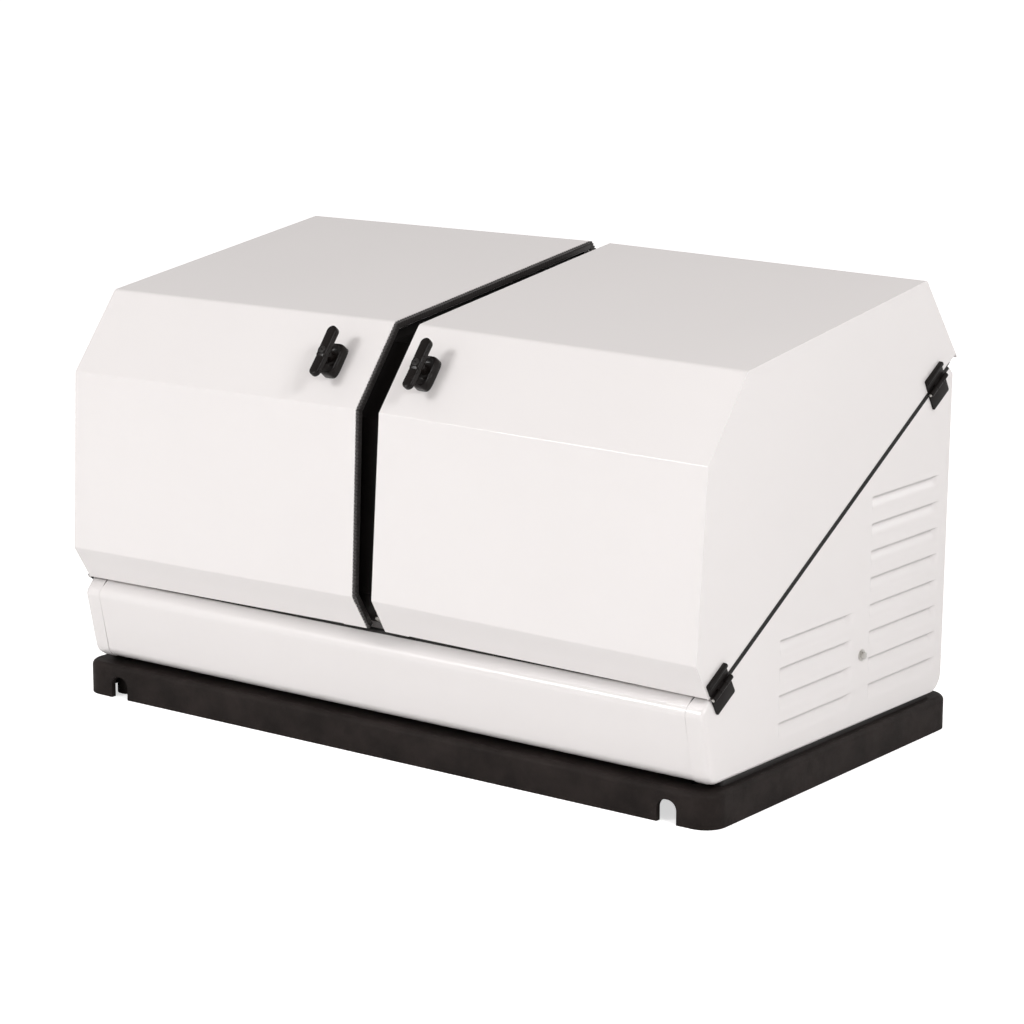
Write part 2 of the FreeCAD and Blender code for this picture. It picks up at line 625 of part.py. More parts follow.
def make_lock_plug():
    plug = rod((0, 0, LATCH_TOP - LATCH_GRIP[2] + 1.3), (0, 0, 1), LOCK_RADIUS, LATCH_GRIP[2] - 0.8)
    return plug.cut(box((-3.5, 3.5), (-0.7, 0.7), (LATCH_TOP - 3.0, LATCH_TOP + 2.0)))


def make_pawl(latch_x):
    reach = latch_x - CHANNEL_HALF - CHANNEL_CATCH / 2
    low = PAWL_LEVEL - PAWL_THICKNESS
    arm = rounded_box((-10, 10), (-12, reach), (low, PAWL_LEVEL), 3.0)
    return arm.cut(rod((0, 0, low - 1), (0, 0, 1), SPINDLE_RADIUS, PAWL_THICKNESS + 2))


for side, latch_x, word in ((1, LATCH_CENTRE[1], "right"), (-1, LATCH_CENTRE[0], "left")):
    for name, shape in (("base", make_latch_base()), ("handle", make_latch_handle()),
                        ("lock_plug", make_lock_plug()), ("pawl", make_pawl(abs(latch_x)))):
        add("latch_" + word + "_" + name, opened(on_slope(shape, latch_x), side))


# ---------------------------------------------------------------- engine and alternator
CRANK = (30.0, 290.0)              # y and z of the crankshaft axis
CRANK_RADIUS = 17.5
NOSE_BORE = 12.3
BEARING_RADIUS = 30.0
CASE = ((110.0, 326.0), (-70.0, 130.0), (205.0, 380.0))
CASE_WALL = 10.0
CYLINDER_X = (165.0, 255.0)        # front bank, rear bank
CYLINDER_BORE = 34.0
BARREL_RADIUS = 41.0
FIN_HALF = (42.0, 56.0)            # the barrel stays inside its fins
FIN_THICKNESS = 3.0
BANK_ANGLE = 45.0
CASE_BEVEL = 70.0
DECK = (CASE[1][1] - CRANK[0] + CASE[2][1] - CASE_BEVEL - CRANK[1]) / math.sqrt(2)
BARREL = (DECK, DECK + 97.0)       # from the crank axis
HEAD_END = BARREL[1] + 47.0
COVER_END = HEAD_END + 30.0
HEAD_HALF = (42.0, 58.0)
PORT_LEVEL = BARREL[1] + 27.0
FIN_PITCH = 9.0
DIPSTICK = (292.0, CASE[1][0] - 16.0)
DIPSTICK_TUBE = 110.0
DIPSTICK_RADIUS = 4.9
HOUSING_X = (CASE[0][1], CASE[0][1] + 84.0)
HOUSING_RADIUS = 165.0
FLYWHEEL = (112.0, 22.0)
FAN_RADIUS = 128.0
ALTERNATOR_X = (-190.0, 80.0)
ALTERNATOR_RADIUS = 128.0
ROTOR_RADIUS = 84.0
AIR_GAP = 1.0
RAIL_Z = (112.0, 150.0)
RAIL_Y = (CRANK[0] - 85.0, CRANK[0] + 85.0)
RAIL_WIDTH = 36.0
RAIL_X = (-230.0, CASE[0][1] - 2.0)
MOUNT_RADIUS = 20.0


def pipe(points, radius, bend, inner=0.0):
    """Round pipe along straight runs joined by tangent arcs of one bend radius."""
    points = [Vector(*p) for p in points]
    edges = []
    last = points[0]
    for i in range(1, len(points) - 1):
        back = (points[i - 1] - points[i]).normalize()
        ahead = (points[i + 1] - points[i]).normalize()
        half = back.getAngle(ahead) / 2
        reach = bend / math.tan(half)
        start = points[i] + back * reach
        end = points[i] + ahead * reach
        middle = points[i] + (back + ahead).normalize() * (bend / math.sin(half) - bend)
        edges.append(Part.LineSegment(last, start).toShape())
        edges.append(Part.Arc(start, middle, end).toShape())
        last = end
    edges.append(Part.LineSegment(last, points[-1]).toShape())
    path = Part.Wire(edges)
    section = Part.Wire([Part.Circle(points[0], points[1] - points[0], radius).toShape()])
    tube = path.makePipeShell([section], True, False)
    if inner > 0:
        bore = Part.Wire([Part.Circle(points[0], points[1] - points[0], inner).toShape()])
        tube = tube.cut(path.makePipeShell([bore], True, False))
    return tube


def on_bank(shape, side):
    """Move a shape drawn upright at the crank axis to the front (-1) or rear (1) bank."""
    shape.rotate(Vector(0, 0, 0), Vector(1, 0, 0), -side * BANK_ANGLE)
    shape.translate(Vector(CYLINDER_X[0 if side < 0 else 1], CRANK[0], CRANK[1]))
    return shape


def bank_point(side, out, across=0.0):
    """y and z of a point at a distance from the crank axis up a bank's centre line."""
    angle = math.radians(BANK_ANGLE)
    along = (side * math.sin(angle), math.cos(angle))
    return (CRANK[0] + along[0] * out + side * along[1] * across,
            CRANK[1] + along[1] * out - abs(along[0]) * across)


def make_crankcase():
    x, y, z = CASE
    case = prism([(y[0], z[0], 20), (y[1], z[0], 20), (y[1], z[1] - CASE_BEVEL), (y[1] - CASE_BEVEL, z[1]),
                  (y[0] + CASE_BEVEL, z[1]), (y[0], z[1] - CASE_BEVEL)], "YZ", *x)
    w = CASE_WALL
    cut = CASE_BEVEL + 0.4 * w
    hollow = prism([(y[0] + w, z[0] + w), (y[1] - w, z[0] + w), (y[1] - w, z[1] - cut),
                    (y[1] - cut, z[1] - w), (y[0] + cut, z[1] - w), (y[0] + w, z[1] - cut)], "YZ",
                   x[0] + w, x[1] - w)
    feet = [box((middle - 22, middle + 22), (y_mid - RAIL_WIDTH / 2, y_mid + RAIL_WIDTH / 2),
                (RAIL_Z[1], z[0] + 5)) for middle in (x[0] + 30, x[1] - 30) for y_mid in RAIL_Y]
    tube = rod((DIPSTICK[0], DIPSTICK[1], z[0] + 8), (0, 0, 1), 8.0, DIPSTICK_TUBE)
    boss = box((DIPSTICK[0] - 8, DIPSTICK[0] + 8), (DIPSTICK[1], y[0] + w), (z[0] + 8, z[0] + 40))
    case = case.multiFuse(feet + [tube, boss]).cut(hollow)
    case = case.cut(rod((DIPSTICK[0], DIPSTICK[1], z[0] + 12), (0, 0, 1), DIPSTICK_RADIUS + 0.08, 400))
    case = case.cut(rod((x[0] - 1, CRANK[0], CRANK[1]), (1, 0, 0), CRANK_RADIUS + RUNNING_CLEARANCE,
                        x[1] - x[0] + 2))
    bores = [on_bank(rod((0, 0, 60), (0, 0, 1), CYLINDER_BORE, 60), side) for side in (-1, 1)]
    return case.cut(Part.makeCompound(bores))


def make_barrel(side):
    low, high = BARREL
    barrel = rod((0, 0, low), (0, 0, 1), BARREL_RADIUS, high - low)
    fins = []
    level = low + 16.0
    while level < high - 4.0:
        fins.append(rounded_box((-FIN_HALF[0], FIN_HALF[0]), (-FIN_HALF[1], FIN_HALF[1]),
                                (level, level + FIN_THICKNESS), 14.0))
        level += FIN_PITCH
    barrel = fuse([barrel] + fins).cut(rod((0, 0, low - 1), (0, 0, 1), CYLINDER_BORE, high - low + 2))
    return on_bank(barrel, side)


def make_head(side):
    x = (-HEAD_HALF[0], HEAD_HALF[0])
    y = (-HEAD_HALF[1], HEAD_HALF[1])
    head = rounded_box(x, y, (BARREL[1], BARREL[1] + 14), 12.0)
    fins = [rounded_box(x, y, (level, level + 3.0), 12.0)
            for level in (BARREL[1] + 18, BARREL[1] + 25, BARREL[1] + 32)]
    fins.append(rod((-HEAD_HALF[0], 0, PORT_LEVEL), (1, 0, 0), 17.0, 30.0))
    core = rounded_box((-34, 34), (-44, 44), (BARREL[1] + 10, HEAD_END), 8.0)
    return on_bank(fuse([head, core] + fins), side)


def make_valve_cover(side):
    cover = rounded_box((-38, 38), (-50, 50), (HEAD_END, COVER_END), 14.0)
    cover = cover.makeFillet(7.0, [e for e in cover.Edges if min(v.Z for v in e.Vertexes) > COVER_END - 0.01])
    cap = rod((0, 0, COVER_END - 1), (0, 0, 1), 9.0, 7.0)
    return on_bank(fuse([cover, cap]), side)


def both_banks(maker):
    return Part.makeCompound([maker(-1), maker(1)])


def make_blower_housing():
    low, high = HOUSING_X
    y, z = CRANK
    shell = rod((low, y, z), (1, 0, 0), HOUSING_RADIUS, high - low)
    shell = shell.cut(rod((low + 3, y, z), (1, 0, 0), HOUSING_RADIUS - 3, high - low - 6))
    shell = shell.cut(rod((high - 4, y, z), (1, 0, 0), 96.0, 6))
    shell = shell.cut(rod((low - 1, y, z), (1, 0, 0), 60.0, 6))
    rings = [ring((high - 3, y, z), (1, 0, 0), r + 2.5, r, 3) for r in (24.0, 42.0, 60.0, 78.0)]
    spokes = []
    for k in range(8):
        spoke = box((high - 3, high), (-2.5, 2.5), (22.0, 97.0))
        spoke.rotate(Vector(0, 0, 0), Vector(1, 0, 0), 45.0 * k + 22.5)
        spokes.append(spoke.translated(Vector(0, y, z)))
    return fuse([shell] + rings + spokes)


def make_fan():
    low = HOUSING_X[0] + 38.0
    y, z = CRANK
    plate = ring((low, y, z), (1, 0, 0), FAN_RADIUS, NOSE_BORE, 4.0)
    blades = []
    for k in range(14):
        blade = box((low + 3, low + 24), (-2.0, 2.0), (62.0, FAN_RADIUS - 2))
        blade.rotate(Vector(low + 13, 0, 0), Vector(0, 0, 1), 22.0)
        blade.rotate(Vector(0, 0, 0), Vector(1, 0, 0), 360.0 / 14 * k)
        blades.append(blade.translated(Vector(0, y, z)))
    return fuse([plate] + blades)


def make_crankshaft():
    y, z = CRANK
    shaft = rod((ALTERNATOR_X[0] - 22, y, z), (1, 0, 0), CRANK_RADIUS, HOUSING_X[0] + 8 - ALTERNATOR_X[0] + 22)
    nose = rod((HOUSING_X[0] + 8, y, z), (1, 0, 0), NOSE_BORE - RUNNING_CLEARANCE, 46)
    nut = hex_bolt((HOUSING_X[0] + 54, y, z), (1, 0, 0), 24.0, 12.0, 17.0)
    webs = [rod((x - 8, y, z), (1, 0, 0), 52.0, 16) for x in (CYLINDER_X[0] - 24, CYLINDER_X[1] + 24)]
    return fuse([shaft, nose, nut] + webs)


def make_flywheel():
    y, z = CRANK
    radius, width = FLYWHEEL
    start = HOUSING_X[0] + 10.0
    wheel = ring((start, y, z), (1, 0, 0), radius, NOSE_BORE, width)
    return wheel.cut(ring((start - 1, y, z), (1, 0, 0), radius - 18, 40.0, 9.0))


def make_stator():
    low, high = ALTERNATOR_X
    y, z = CRANK
    can = ring((low, y, z), (1, 0, 0), ALTERNATOR_RADIUS, ROTOR_RADIUS + AIR_GAP, high - low)
    grooves = []
    for k in range(12):
        groove = box((low + 30, high - 30), (-5, 5), (ALTERNATOR_RADIUS - 5, ALTERNATOR_RADIUS + 5))
        groove.rotate(Vector(0, 0, 0), Vector(1, 0, 0), 30.0 * k + 15)
        grooves.append(groove.translated(Vector(0, y, z)))
    feet = [box((middle - 18, middle + 18), (side_y - RAIL_WIDTH / 2, side_y + RAIL_WIDTH / 2),
                (RAIL_Z[1], z - 70)) for middle in (low + 40, high - 40) for side_y in RAIL_Y]
    body = can.cut(Part.makeCompound(grooves)).multiFuse(feet)
    return body.cut(rod((low - 1, y, z), (1, 0, 0), ROTOR_RADIUS + AIR_GAP, high - low + 2)).removeSplitter()


def make_end_bell():
    low = ALTERNATOR_X[0]
    y, z = CRANK
    bell = ring((low - 34, y, z), (1, 0, 0), ALTERNATOR_RADIUS - 4, BEARING_RADIUS + RUNNING_CLEARANCE, 34.0)
    bell = bell.cut(ring((low - 26, y, z), (1, 0, 0), ALTERNATOR_RADIUS - 12, 42.0, 27.0))
    slots = []
    for k in range(10):
        slot = box((low - 40, low - 20), (-7, 7), (62.0, 100.0))
        slot.rotate(Vector(0, 0, 0), Vector(1, 0, 0), 36.0 * k)
        slots.append(slot.translated(Vector(0, y, z)))
    return bell.cut(Part.makeCompound(slots))


def make_adapter():
    low, high = ALTERNATOR_X[1], CASE[0][0]
    y, z = CRANK
    wall = ring((low, y, z), (1, 0, 0), 95.0, 87.0, high - low)
    flange = ring((low, y, z), (1, 0, 0), ALTERNATOR_RADIUS, 95.0, 6.0)
    return fuse([wall, flange])


def make_rotor():
    y, z = CRANK
    low, high = ALTERNATOR_X
    core = ring((low + 15, y, z), (1, 0, 0), ROTOR_RADIUS, CRANK_RADIUS + RUNNING_CLEARANCE,
                high - low - 30)
    slots = []
    for k in range(4):
        slot = box((low, high), (-9, 9), (ROTOR_RADIUS - 16, ROTOR_RADIUS + 5))
        slot.rotate(Vector(0, 0, 0), Vector(1, 0, 0), 90.0 * k)
        slots.append(slot.translated(Vector(0, y, z)))
    return core.cut(Part.makeCompound(slots))


def make_rails():
    rails = []
    for y in RAIL_Y:
        half = RAIL_WIDTH / 2
        section = [(y - half, RAIL_Z[0]), (y + half, RAIL_Z[0]), (y + half, RAIL_Z[1]), (y - half, RAIL_Z[1])]
        hollow = [(y - half + 3, RAIL_Z[0] + 3), (y + half - 3, RAIL_Z[0] + 3),
                  (y + half - 3, RAIL_Z[1] - 3), (y - half + 3, RAIL_Z[1] - 3)]
        rails.append(prism(section, "YZ", *RAIL_X).cut(prism(hollow, "YZ", RAIL_X[0] - 1, RAIL_X[1] + 1)))
    for x in (RAIL_X[0] + 20, RAIL_X[1] - 60):
        rails.append(box((x, x + 40), (RAIL_Y[0] + RAIL_WIDTH / 2, RAIL_Y[1] - RAIL_WIDTH / 2),
                         (RAIL_Z[0], RAIL_Z[0] + 3)))
    return fuse(rails)


add("engine_crankcase", make_crankcase())
add("engine_cylinders", both_banks(make_barrel))
add("cylinder_heads", both_banks(make_head))
add("valve_covers", both_banks(make_valve_cover))
add("blower_housing", make_blower_housing())
add("cooling_fan", make_fan())
add("flywheel", make_flywheel())
add("crankshaft", make_crankshaft())
add("alternator_stator", make_stator())
bearing = ring((ALTERNATOR_X[0] - 32, CRANK[0], CRANK[1]), (1, 0, 0), BEARING_RADIUS,
               CRANK_RADIUS + RUNNING_CLEARANCE, 30.0)
add("alternator_end_bell", Part.makeCompound([make_end_bell(), bearing]))
add("alternator_adapter", make_adapter())
add("alternator_rotor", make_rotor())
add("engine_rails", make_rails())
mounts = [rod((x, y, TRAY_TOP), (0, 0, 1), MOUNT_RADIUS, RAIL_Z[0] - TRAY_TOP)
          for x in (RAIL_X[0] + 40, RAIL_X[1] - 40) for y in RAIL_Y]
add("vibration_mounts", Part.makeCompound(mounts))


# ---------------------------------------------------------------- intake, exhaust and starter
PLENUM_Z = (478.0, 500.0)
PLENUM_X = (150.0, 270.0)
MIXER_HALF = 25.0
CLEANER_Z = (512.0, 524.0, 592.0)
CLEANER_WALL = 2.5
MUFFLER = (60.0, 500.0, 62.0)           # y, z and radius
MUFFLER_X = (-330.0, -60.0)
HEADER_RADIUS = 13.0
STARTER = (CASE[1][1] + 38.0, 250.0, 34.0)


def make_intake():
    y = CRANK[0]
    middle = (PLENUM_X[0] + PLENUM_X[1]) / 2
    plenum = rounded_box(PLENUM_X, (y - 70, y + 70), PLENUM_Z, 12.0)
    mixer = rounded_box((middle - MIXER_HALF, middle + MIXER_HALF), (y - MIXER_HALF, y + MIXER_HALF),
                        (PLENUM_Z[0] - 72, PLENUM_Z[0] + 1), 8.0)
    neck = rod((middle, y, PLENUM_Z[1] - 1), (0, 0, 1), 24.0, CLEANER_Z[0] - PLENUM_Z[1] + 1)
    arms = []
    for side in (-1, 1):
        x = CYLINDER_X[0 if side < 0 else 1]
        reach = [HEAD_HALF[1] * math.sqrt(2) - (z - CRANK[1]) for z in PLENUM_Z]
        corners = [(y + side * 65, PLENUM_Z[0]), (y - side * reach[0], PLENUM_Z[0]),
                   (y - side * reach[1], PLENUM_Z[1]), (y + side * 65, PLENUM_Z[1])]
        arms.append(prism(corners, "YZ", x - 15, x + 15))
    return fuse([plenum, mixer, neck] + arms)


def make_air_cleaner():
    low, lip, high = CLEANER_Z
    x = (PLENUM_X[0] - 5, PLENUM_X[1] + 15)
    y = (CRANK[0] - 80, CRANK[0] + 80)
    pan = rounded_box(x, y, (low, lip), 22.0)
    pan = pan.cut(rounded_box((x[0] + 3, x[1] - 3), (y[0] + 3, y[1] - 3), (low + 3, lip + 1), 19.0))
    element = rounded_box((x[0] + 14, x[1] - 14), (y[0] + 14, y[1] - 14), (low + 3, high - 12), 14.0)
    stud = rod(((x[0] + x[1]) / 2, CRANK[0], high - 13), (0, 0, 1), 4.0, 26.0)
    pan = fuse([pan, element, stud])
    wall = CLEANER_WALL
    cover = rounded_box(x, y, (lip, high), 22.0)
    cover = cover.makeFillet(12.0, [e for e in cover.Edges if min(v.Z for v in e.Vertexes) > high - 0.01])
    cover = cover.cut(rounded_box((x[0] + wall, x[1] - wall), (y[0] + wall, y[1] - wall),
                                  (lip - 1, high - 8), 19.0))
    knob = rod(((x[0] + x[1]) / 2, CRANK[0], high - 1), (0, 0, 1), 17.0, 19.0)
    bore = rod(((x[0] + x[1]) / 2, CRANK[0], lip), (0, 0, 1), 4.08, high - lip + 14.0)
    return pan, fuse([cover, knob]).cut(bore)


def make_headers():
    y, z, _ = MUFFLER
    pipes = []
    for side, port_y, port_z in ((-1, y - 25, z - 15), (1, y + 25, z + 5)):
        x = CYLINDER_X[0 if side < 0 else 1] - HEAD_HALF[0]
        out_y, out_z = bank_point(side, PORT_LEVEL)
        points = [(x, out_y, out_z), (ALTERNATOR_X[1] - 20, out_y, out_z),
                  (MUFFLER_X[1] + 60, port_y, port_z), (MUFFLER_X[1], port_y, port_z)]
        pipes.append(pipe(points, HEADER_RADIUS, 24.0))
    return Part.makeCompound(pipes)


def make_muffler():
    y, z, radius = MUFFLER
    low, high = MUFFLER_X
    can = rod((low, y, z), (1, 0, 0), radius, high - low)
    can = can.makeFillet(9.0, [e for e in can.Edges if len(e.Vertexes) == 1])
    can = can.cut(rod((low + 3, y, z), (1, 0, 0), radius - 6, high - low - 6))
    seams = [ring((x, y, z), (1, 0, 0), radius + 2.5, radius - 3, 6) for x in (low + 24, high - 30)]
    outlet = pipe([(low + 2, y, z), (low - 90, y, z), (low - 170, y + 110, z - 170),
                   (-END + 32, y + 110, z - 170)], 17.0, 30.0, 15.0)
    top = CRANK[1] + ALTERNATOR_RADIUS
    saddles = []
    for x in (ALTERNATOR_X[0] + 20, ALTERNATOR_X[1] - 170):
        saddles.append(box((x, x + 24), (CRANK[0] - 12, CRANK[0] + 12), (top, z - radius + 22)))
    return fuse([can, outlet] + seams + saddles)


def make_starter():
    y, z, radius = STARTER
    end = HOUSING_X[0]
    body = rod((end - 118, y, z), (1, 0, 0), radius, 108)
    flange = rod((end - 12, y, z), (1, 0, 0), radius + 3, 12)
    cap = rod((end - 124, y, z), (1, 0, 0), radius - 6, 8)
    solenoid = rod((end - 84, y + 8, z + radius + 12), (1, 0, 0), 15.0, 76)
    bridge = box((end - 70, end - 30), (y - 8, y + 10), (z + radius - 10, z + radius + 4))
    return fuse([body, flange, cap, solenoid, bridge])


add("intake_manifold", make_intake())
air_cleaner, air_cleaner_cover = make_air_cleaner()
add("air_cleaner", air_cleaner)
add("air_cleaner_cover", air_cleaner_cover)
add("exhaust_headers", make_headers())
add("muffler", make_muffler())
add("starter_motor", make_starter())
FILTER = (CASE[0][0] + 42.0, CASE[1][0], 248.0)
filter_can = rod(FILTER, (0, -1, 0), 36.0, 78.0)
filter_can = filter_can.makeFillet(8.0, [e for e in filter_can.Edges
                                         if len(e.Vertexes) == 1 and e.BoundBox.YMax < FILTER[1] - 70])
add("oil_filter", filter_can)
stick_low = CASE[2][0] + 20.0
tube_top = CASE[2][0] + 8 + DIPSTICK_TUBE
stick = rod((DIPSTICK[0], DIPSTICK[1], stick_low), (0, 0, 1), DIPSTICK_RADIUS, tube_top - stick_low + 4)
grip = rod((DIPSTICK[0], DIPSTICK[1], tube_top + 0.3), (0, 0, 1), 10.0, 14.0)
loop = ring((DIPSTICK[0], DIPSTICK[1] - 3, tube_top + 26), (0, 1, 0), 15.0, 9.0, 6.0)
add("dipstick", fuse([stick, grip, loop]))


# ---------------------------------------------------------------- battery and controls
BATTERY = ((-END + 48.0, -END + 248.0), (-270.0, -140.0), (TRAY_TOP, TRAY_TOP + 178.0))
CONTROL = ((-340.0, -90.0), (-290.0, -190.0), (310.0, 510.0))
BUTTON_X = (-300.0, -265.0)
BUTTON_Z = 350.0
BUTTON_RADIUS = 9.0
BREAKER = (-150.0, 410.0)
TOGGLE_RADIUS = 8.0
TOGGLE_REST = 30.0
FUEL_Z = INLET_SPOT[1]
INLET_DEPTH = 30.0
VALVE_LEVER = 44.0
VALVE_Y = (REAR - 83.0, REAR - 45.0)
REGULATOR = (INLET_SPOT[0], REAR - 140.0, 45.0)


def make_battery():
    x, y, z = BATTERY
    case = rounded_box(x, y, (z[0], z[1] - 14), 6.0)
    lid = rounded_box((x[0] - 2, x[1] + 2), (y[0] - 2, y[1] + 2), (z[1] - 34, z[1]), 7.0)
    posts = [rod((px, y[1] - 28, z[1] - 1), (0, 0, 1), 8.0, 15.0) for px in (x[0] + 32, x[1] - 32)]
    ribs = [box((x[0] - 2, x[1] + 2), (y[0] - 2, y[1] + 2), (z[0] + 8, z[0] + 20))]
    return fuse([case, lid] + posts + ribs)


def make_battery_cables():
    x, y, z = BATTERY
    top = z[1] + 14.0
    post_y = y[1] - 28
    control = pipe([(x[1] - 32, post_y, top), (x[1] - 32, post_y, top + 50), (CONTROL[0][0] + 12, -230, top + 50),
                    (CONTROL[0][0] + 12, -230, CONTROL[2][0])], 5.0, 14.0)
    starter_x = HOUSING_X[0] - 124
    cross_y = CRANK[0] - 148
    lead = pipe([(x[0] + 32, post_y, top), (x[0] + 32, post_y, top + 22), (x[0] + 32, cross_y, top + 22),
                 (x[0] + 32, cross_y, TRAY_TOP + 20), (starter_x - 52, cross_y, TRAY_TOP + 20),
                 (starter_x - 52, STARTER[0], TRAY_TOP + 20), (starter_x - 52, STARTER[0], STARTER[1]),
                 (starter_x, STARTER[0], STARTER[1])], 5.0, 16.0)
    return Part.makeCompound([control, lead])


def make_control_box():
    x, y, z = CONTROL
    shell = rounded_box(x, y, z, 8.0, "XZ")
    inside = rounded_box((x[0] + 2, x[1] - 2), (y[0] + 2, y[1] - 2), (z[0] + 2, z[1] - 2), 6.0, "XZ")
    legs = [box((lx, lx + 3), (y[0] + 20, y[1]), (TRAY_TOP, z[0] + 1)) for lx in (x[0] + 24, x[1] - 27)]
    block = rounded_box((BREAKER[0] - 25, BREAKER[0] + 25), (y[0] - 14, y[0] + 2),
                        (BREAKER[1] - 42, BREAKER[1] + 42), 3.0, "XZ")
    bezel = rounded_box((x[0] + 20, x[0] + 120), (y[0] - 4, y[0] + 2), (z[1] - 90, z[1] - 25), 5.0, "XZ")
    screen = rounded_box((x[0] + 28, x[0] + 112), (y[0] - 5, y[0] - 2), (z[1] - 82, z[1] - 40), 3.0, "XZ")
    guides = [rod((bx, y[0] + 24, BUTTON_Z), (0, -1, 0), BUTTON_RADIUS + 4, 26) for bx in BUTTON_X]
    body = shell.cut(inside).multiFuse(legs + [block, bezel] + guides)
    slot = box((BREAKER[0] - 8, BREAKER[0] + 8), (y[0] - 20, y[0] + 1), (BREAKER[1] - 26, BREAKER[1] + 26))
    holes = [rod((bx, y[0] + 20, BUTTON_Z), (0, -1, 0), BUTTON_RADIUS + 0.1, 40) for bx in BUTTON_X]
    body = body.cut(Part.makeCompound([slot, screen] + holes))
    pin = rod((BREAKER[0] - 10, y[0] - 7, BREAKER[1]), (1, 0, 0), 2.0, 20)
    return body.fuse(pin)


def make_toggle():
    y = CONTROL[1][0] - 7.0
    x, z = BREAKER
    barrel = rod((x - 7.6, y, z), (1, 0, 0), TOGGLE_RADIUS - 0.6, 15.2)
    lever = rounded_box((x - 7.0, x + 7.0), (-30.0, 0.0), (-3.2, 3.2), 2.5)
    lever.rotate(Vector(0, 0, 0), Vector(1, 0, 0), -TOGGLE_REST)
    lever.translate(Vector(0, y, z))
    return barrel.fuse(lever).cut(rod((x - 12, y, z), (1, 0, 0), 2.0 + RUNNING_CLEARANCE, 24))


def make_button(x):
    y = CONTROL[1][0]
    stem = rod((x, y + 14.0, BUTTON_Z), (0, -1, 0), BUTTON_RADIUS, 22.0)
    edge = [e for e in stem.Edges if len(e.Vertexes) == 1 and e.BoundBox.YMax < y]
    return stem.makeFillet(1.5, edge)


def make_fuel_train():
    x = INLET_SPOT[0]
    y_low, y_high = VALVE_Y
    half = 19.0
    valve = rounded_box((x - half, x + half), (y_low, y_high), (FUEL_Z - half, FUEL_Z + half), 6.0)
    nipple = rod((x, y_high - 1, FUEL_Z), (0, 1, 0), INLET_RADIUS + 3.7, REAR + 6 - y_high)
    link = rod((x, y_low + 1, FUEL_Z), (0, -1, 0), 12.0, y_low - REGULATOR[1])
    drum = rod((x, REGULATOR[1], FUEL_Z - 45), (0, 0, 1), REGULATOR[2], 60.0)
    cap = rod((x, REGULATOR[1], FUEL_Z + 12), (0, 0, 1), REGULATOR[2] - 16, 8.0)
    stand = box((x - 15, x + 15), (REGULATOR[1] - 15, REGULATOR[1] + 15), (TRAY_TOP, FUEL_Z - 44))
    base = box((x - 40, x + 40), (REGULATOR[1] - 25, REGULATOR[1] + 25), (TRAY_TOP, TRAY_TOP + 3))
    body = fuse([valve, nipple, link, drum, cap, stand, base])
    bore = rod((x, REAR + 7, FUEL_Z), (0, -1, 0), INLET_RADIUS, INLET_DEPTH + 1)
    stem = rod((x, (y_low + y_high) / 2, FUEL_Z), (0, 0, 1), 4.0 + RUNNING_CLEARANCE, half + 1)
    return body.cut(Part.makeCompound([bore, stem]))


def make_fuel_hose():
    level = FUEL_Z - 20.0
    bend_x = ALTERNATOR_X[1] + 18.0
    mixer_x = (PLENUM_X[0] + PLENUM_X[1]) / 2 - MIXER_HALF
    hose_y = REGULATOR[1]
    points = [(INLET_SPOT[0] + REGULATOR[2] - 1, hose_y, level), (bend_x, hose_y, level),
              (bend_x, hose_y, CASE[2][1] - 10), (bend_x, CRANK[0], PLENUM_Z[0] - 38),
              (mixer_x, CRANK[0], PLENUM_Z[0] - 38)]
    hose = pipe(points, 8.0, 25.0)
    return hose.cut(rod((INLET_SPOT[0], hose_y, 0), (0, 0, 1), REGULATOR[2], 400))


add("battery", make_battery())
add("battery_cables", make_battery_cables())
add("control_box", make_control_box())
add("breaker_toggle", make_toggle())
add("start_button", make_button(BUTTON_X[0]))
add("stop_button", make_button(BUTTON_X[1]))
add("fuel_train", make_fuel_train())
add("fuel_hose", make_fuel_hose())
lever_y = (VALVE_Y[0] + VALVE_Y[1]) / 2
lever = rounded_box((INLET_SPOT[0] - 9, INLET_SPOT[0] + 9), (lever_y - VALVE_LEVER, lever_y + 9),
                    (FUEL_Z + 19.4, FUEL_Z + 24.4), 8.0)
add("fuel_valve_lever", fuse([lever, rod((INLET_SPOT[0], lever_y, FUEL_Z + 2), (0, 0, 1), 4.0, 28.0)]))
hub_y = rear_y(CONDUIT_SPOT[1])
hub = rod((CONDUIT_SPOT[0], hub_y - 18, CONDUIT_SPOT[1]), (0, 1, 0), CONDUIT_RADIUS + 4.6, 30.0)
nuts = [rod((CONDUIT_SPOT[0], y, CONDUIT_SPOT[1]), (0, 1, 0), CONDUIT_RADIUS + 12, 5.0)
        for y in (hub_y + 0.8, hub_y - SHEET - 5.8)]
add("conduit_hub", fuse([hub] + nuts).cut(rod((CONDUIT_SPOT[0], hub_y - 30, CONDUIT_SPOT[1]), (0, 1, 0),
                                              CONDUIT_RADIUS, 60.0)))


# ---------------------------------------------------------------- export
os.makedirs("parts", exist_ok=True)
for name, shape in NODES.items():
    shape.exportStep("parts/" + name + ".step")
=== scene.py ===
import json
import math

import bmesh
import bpy
from mathutils import Matrix, Quaternion, Vector


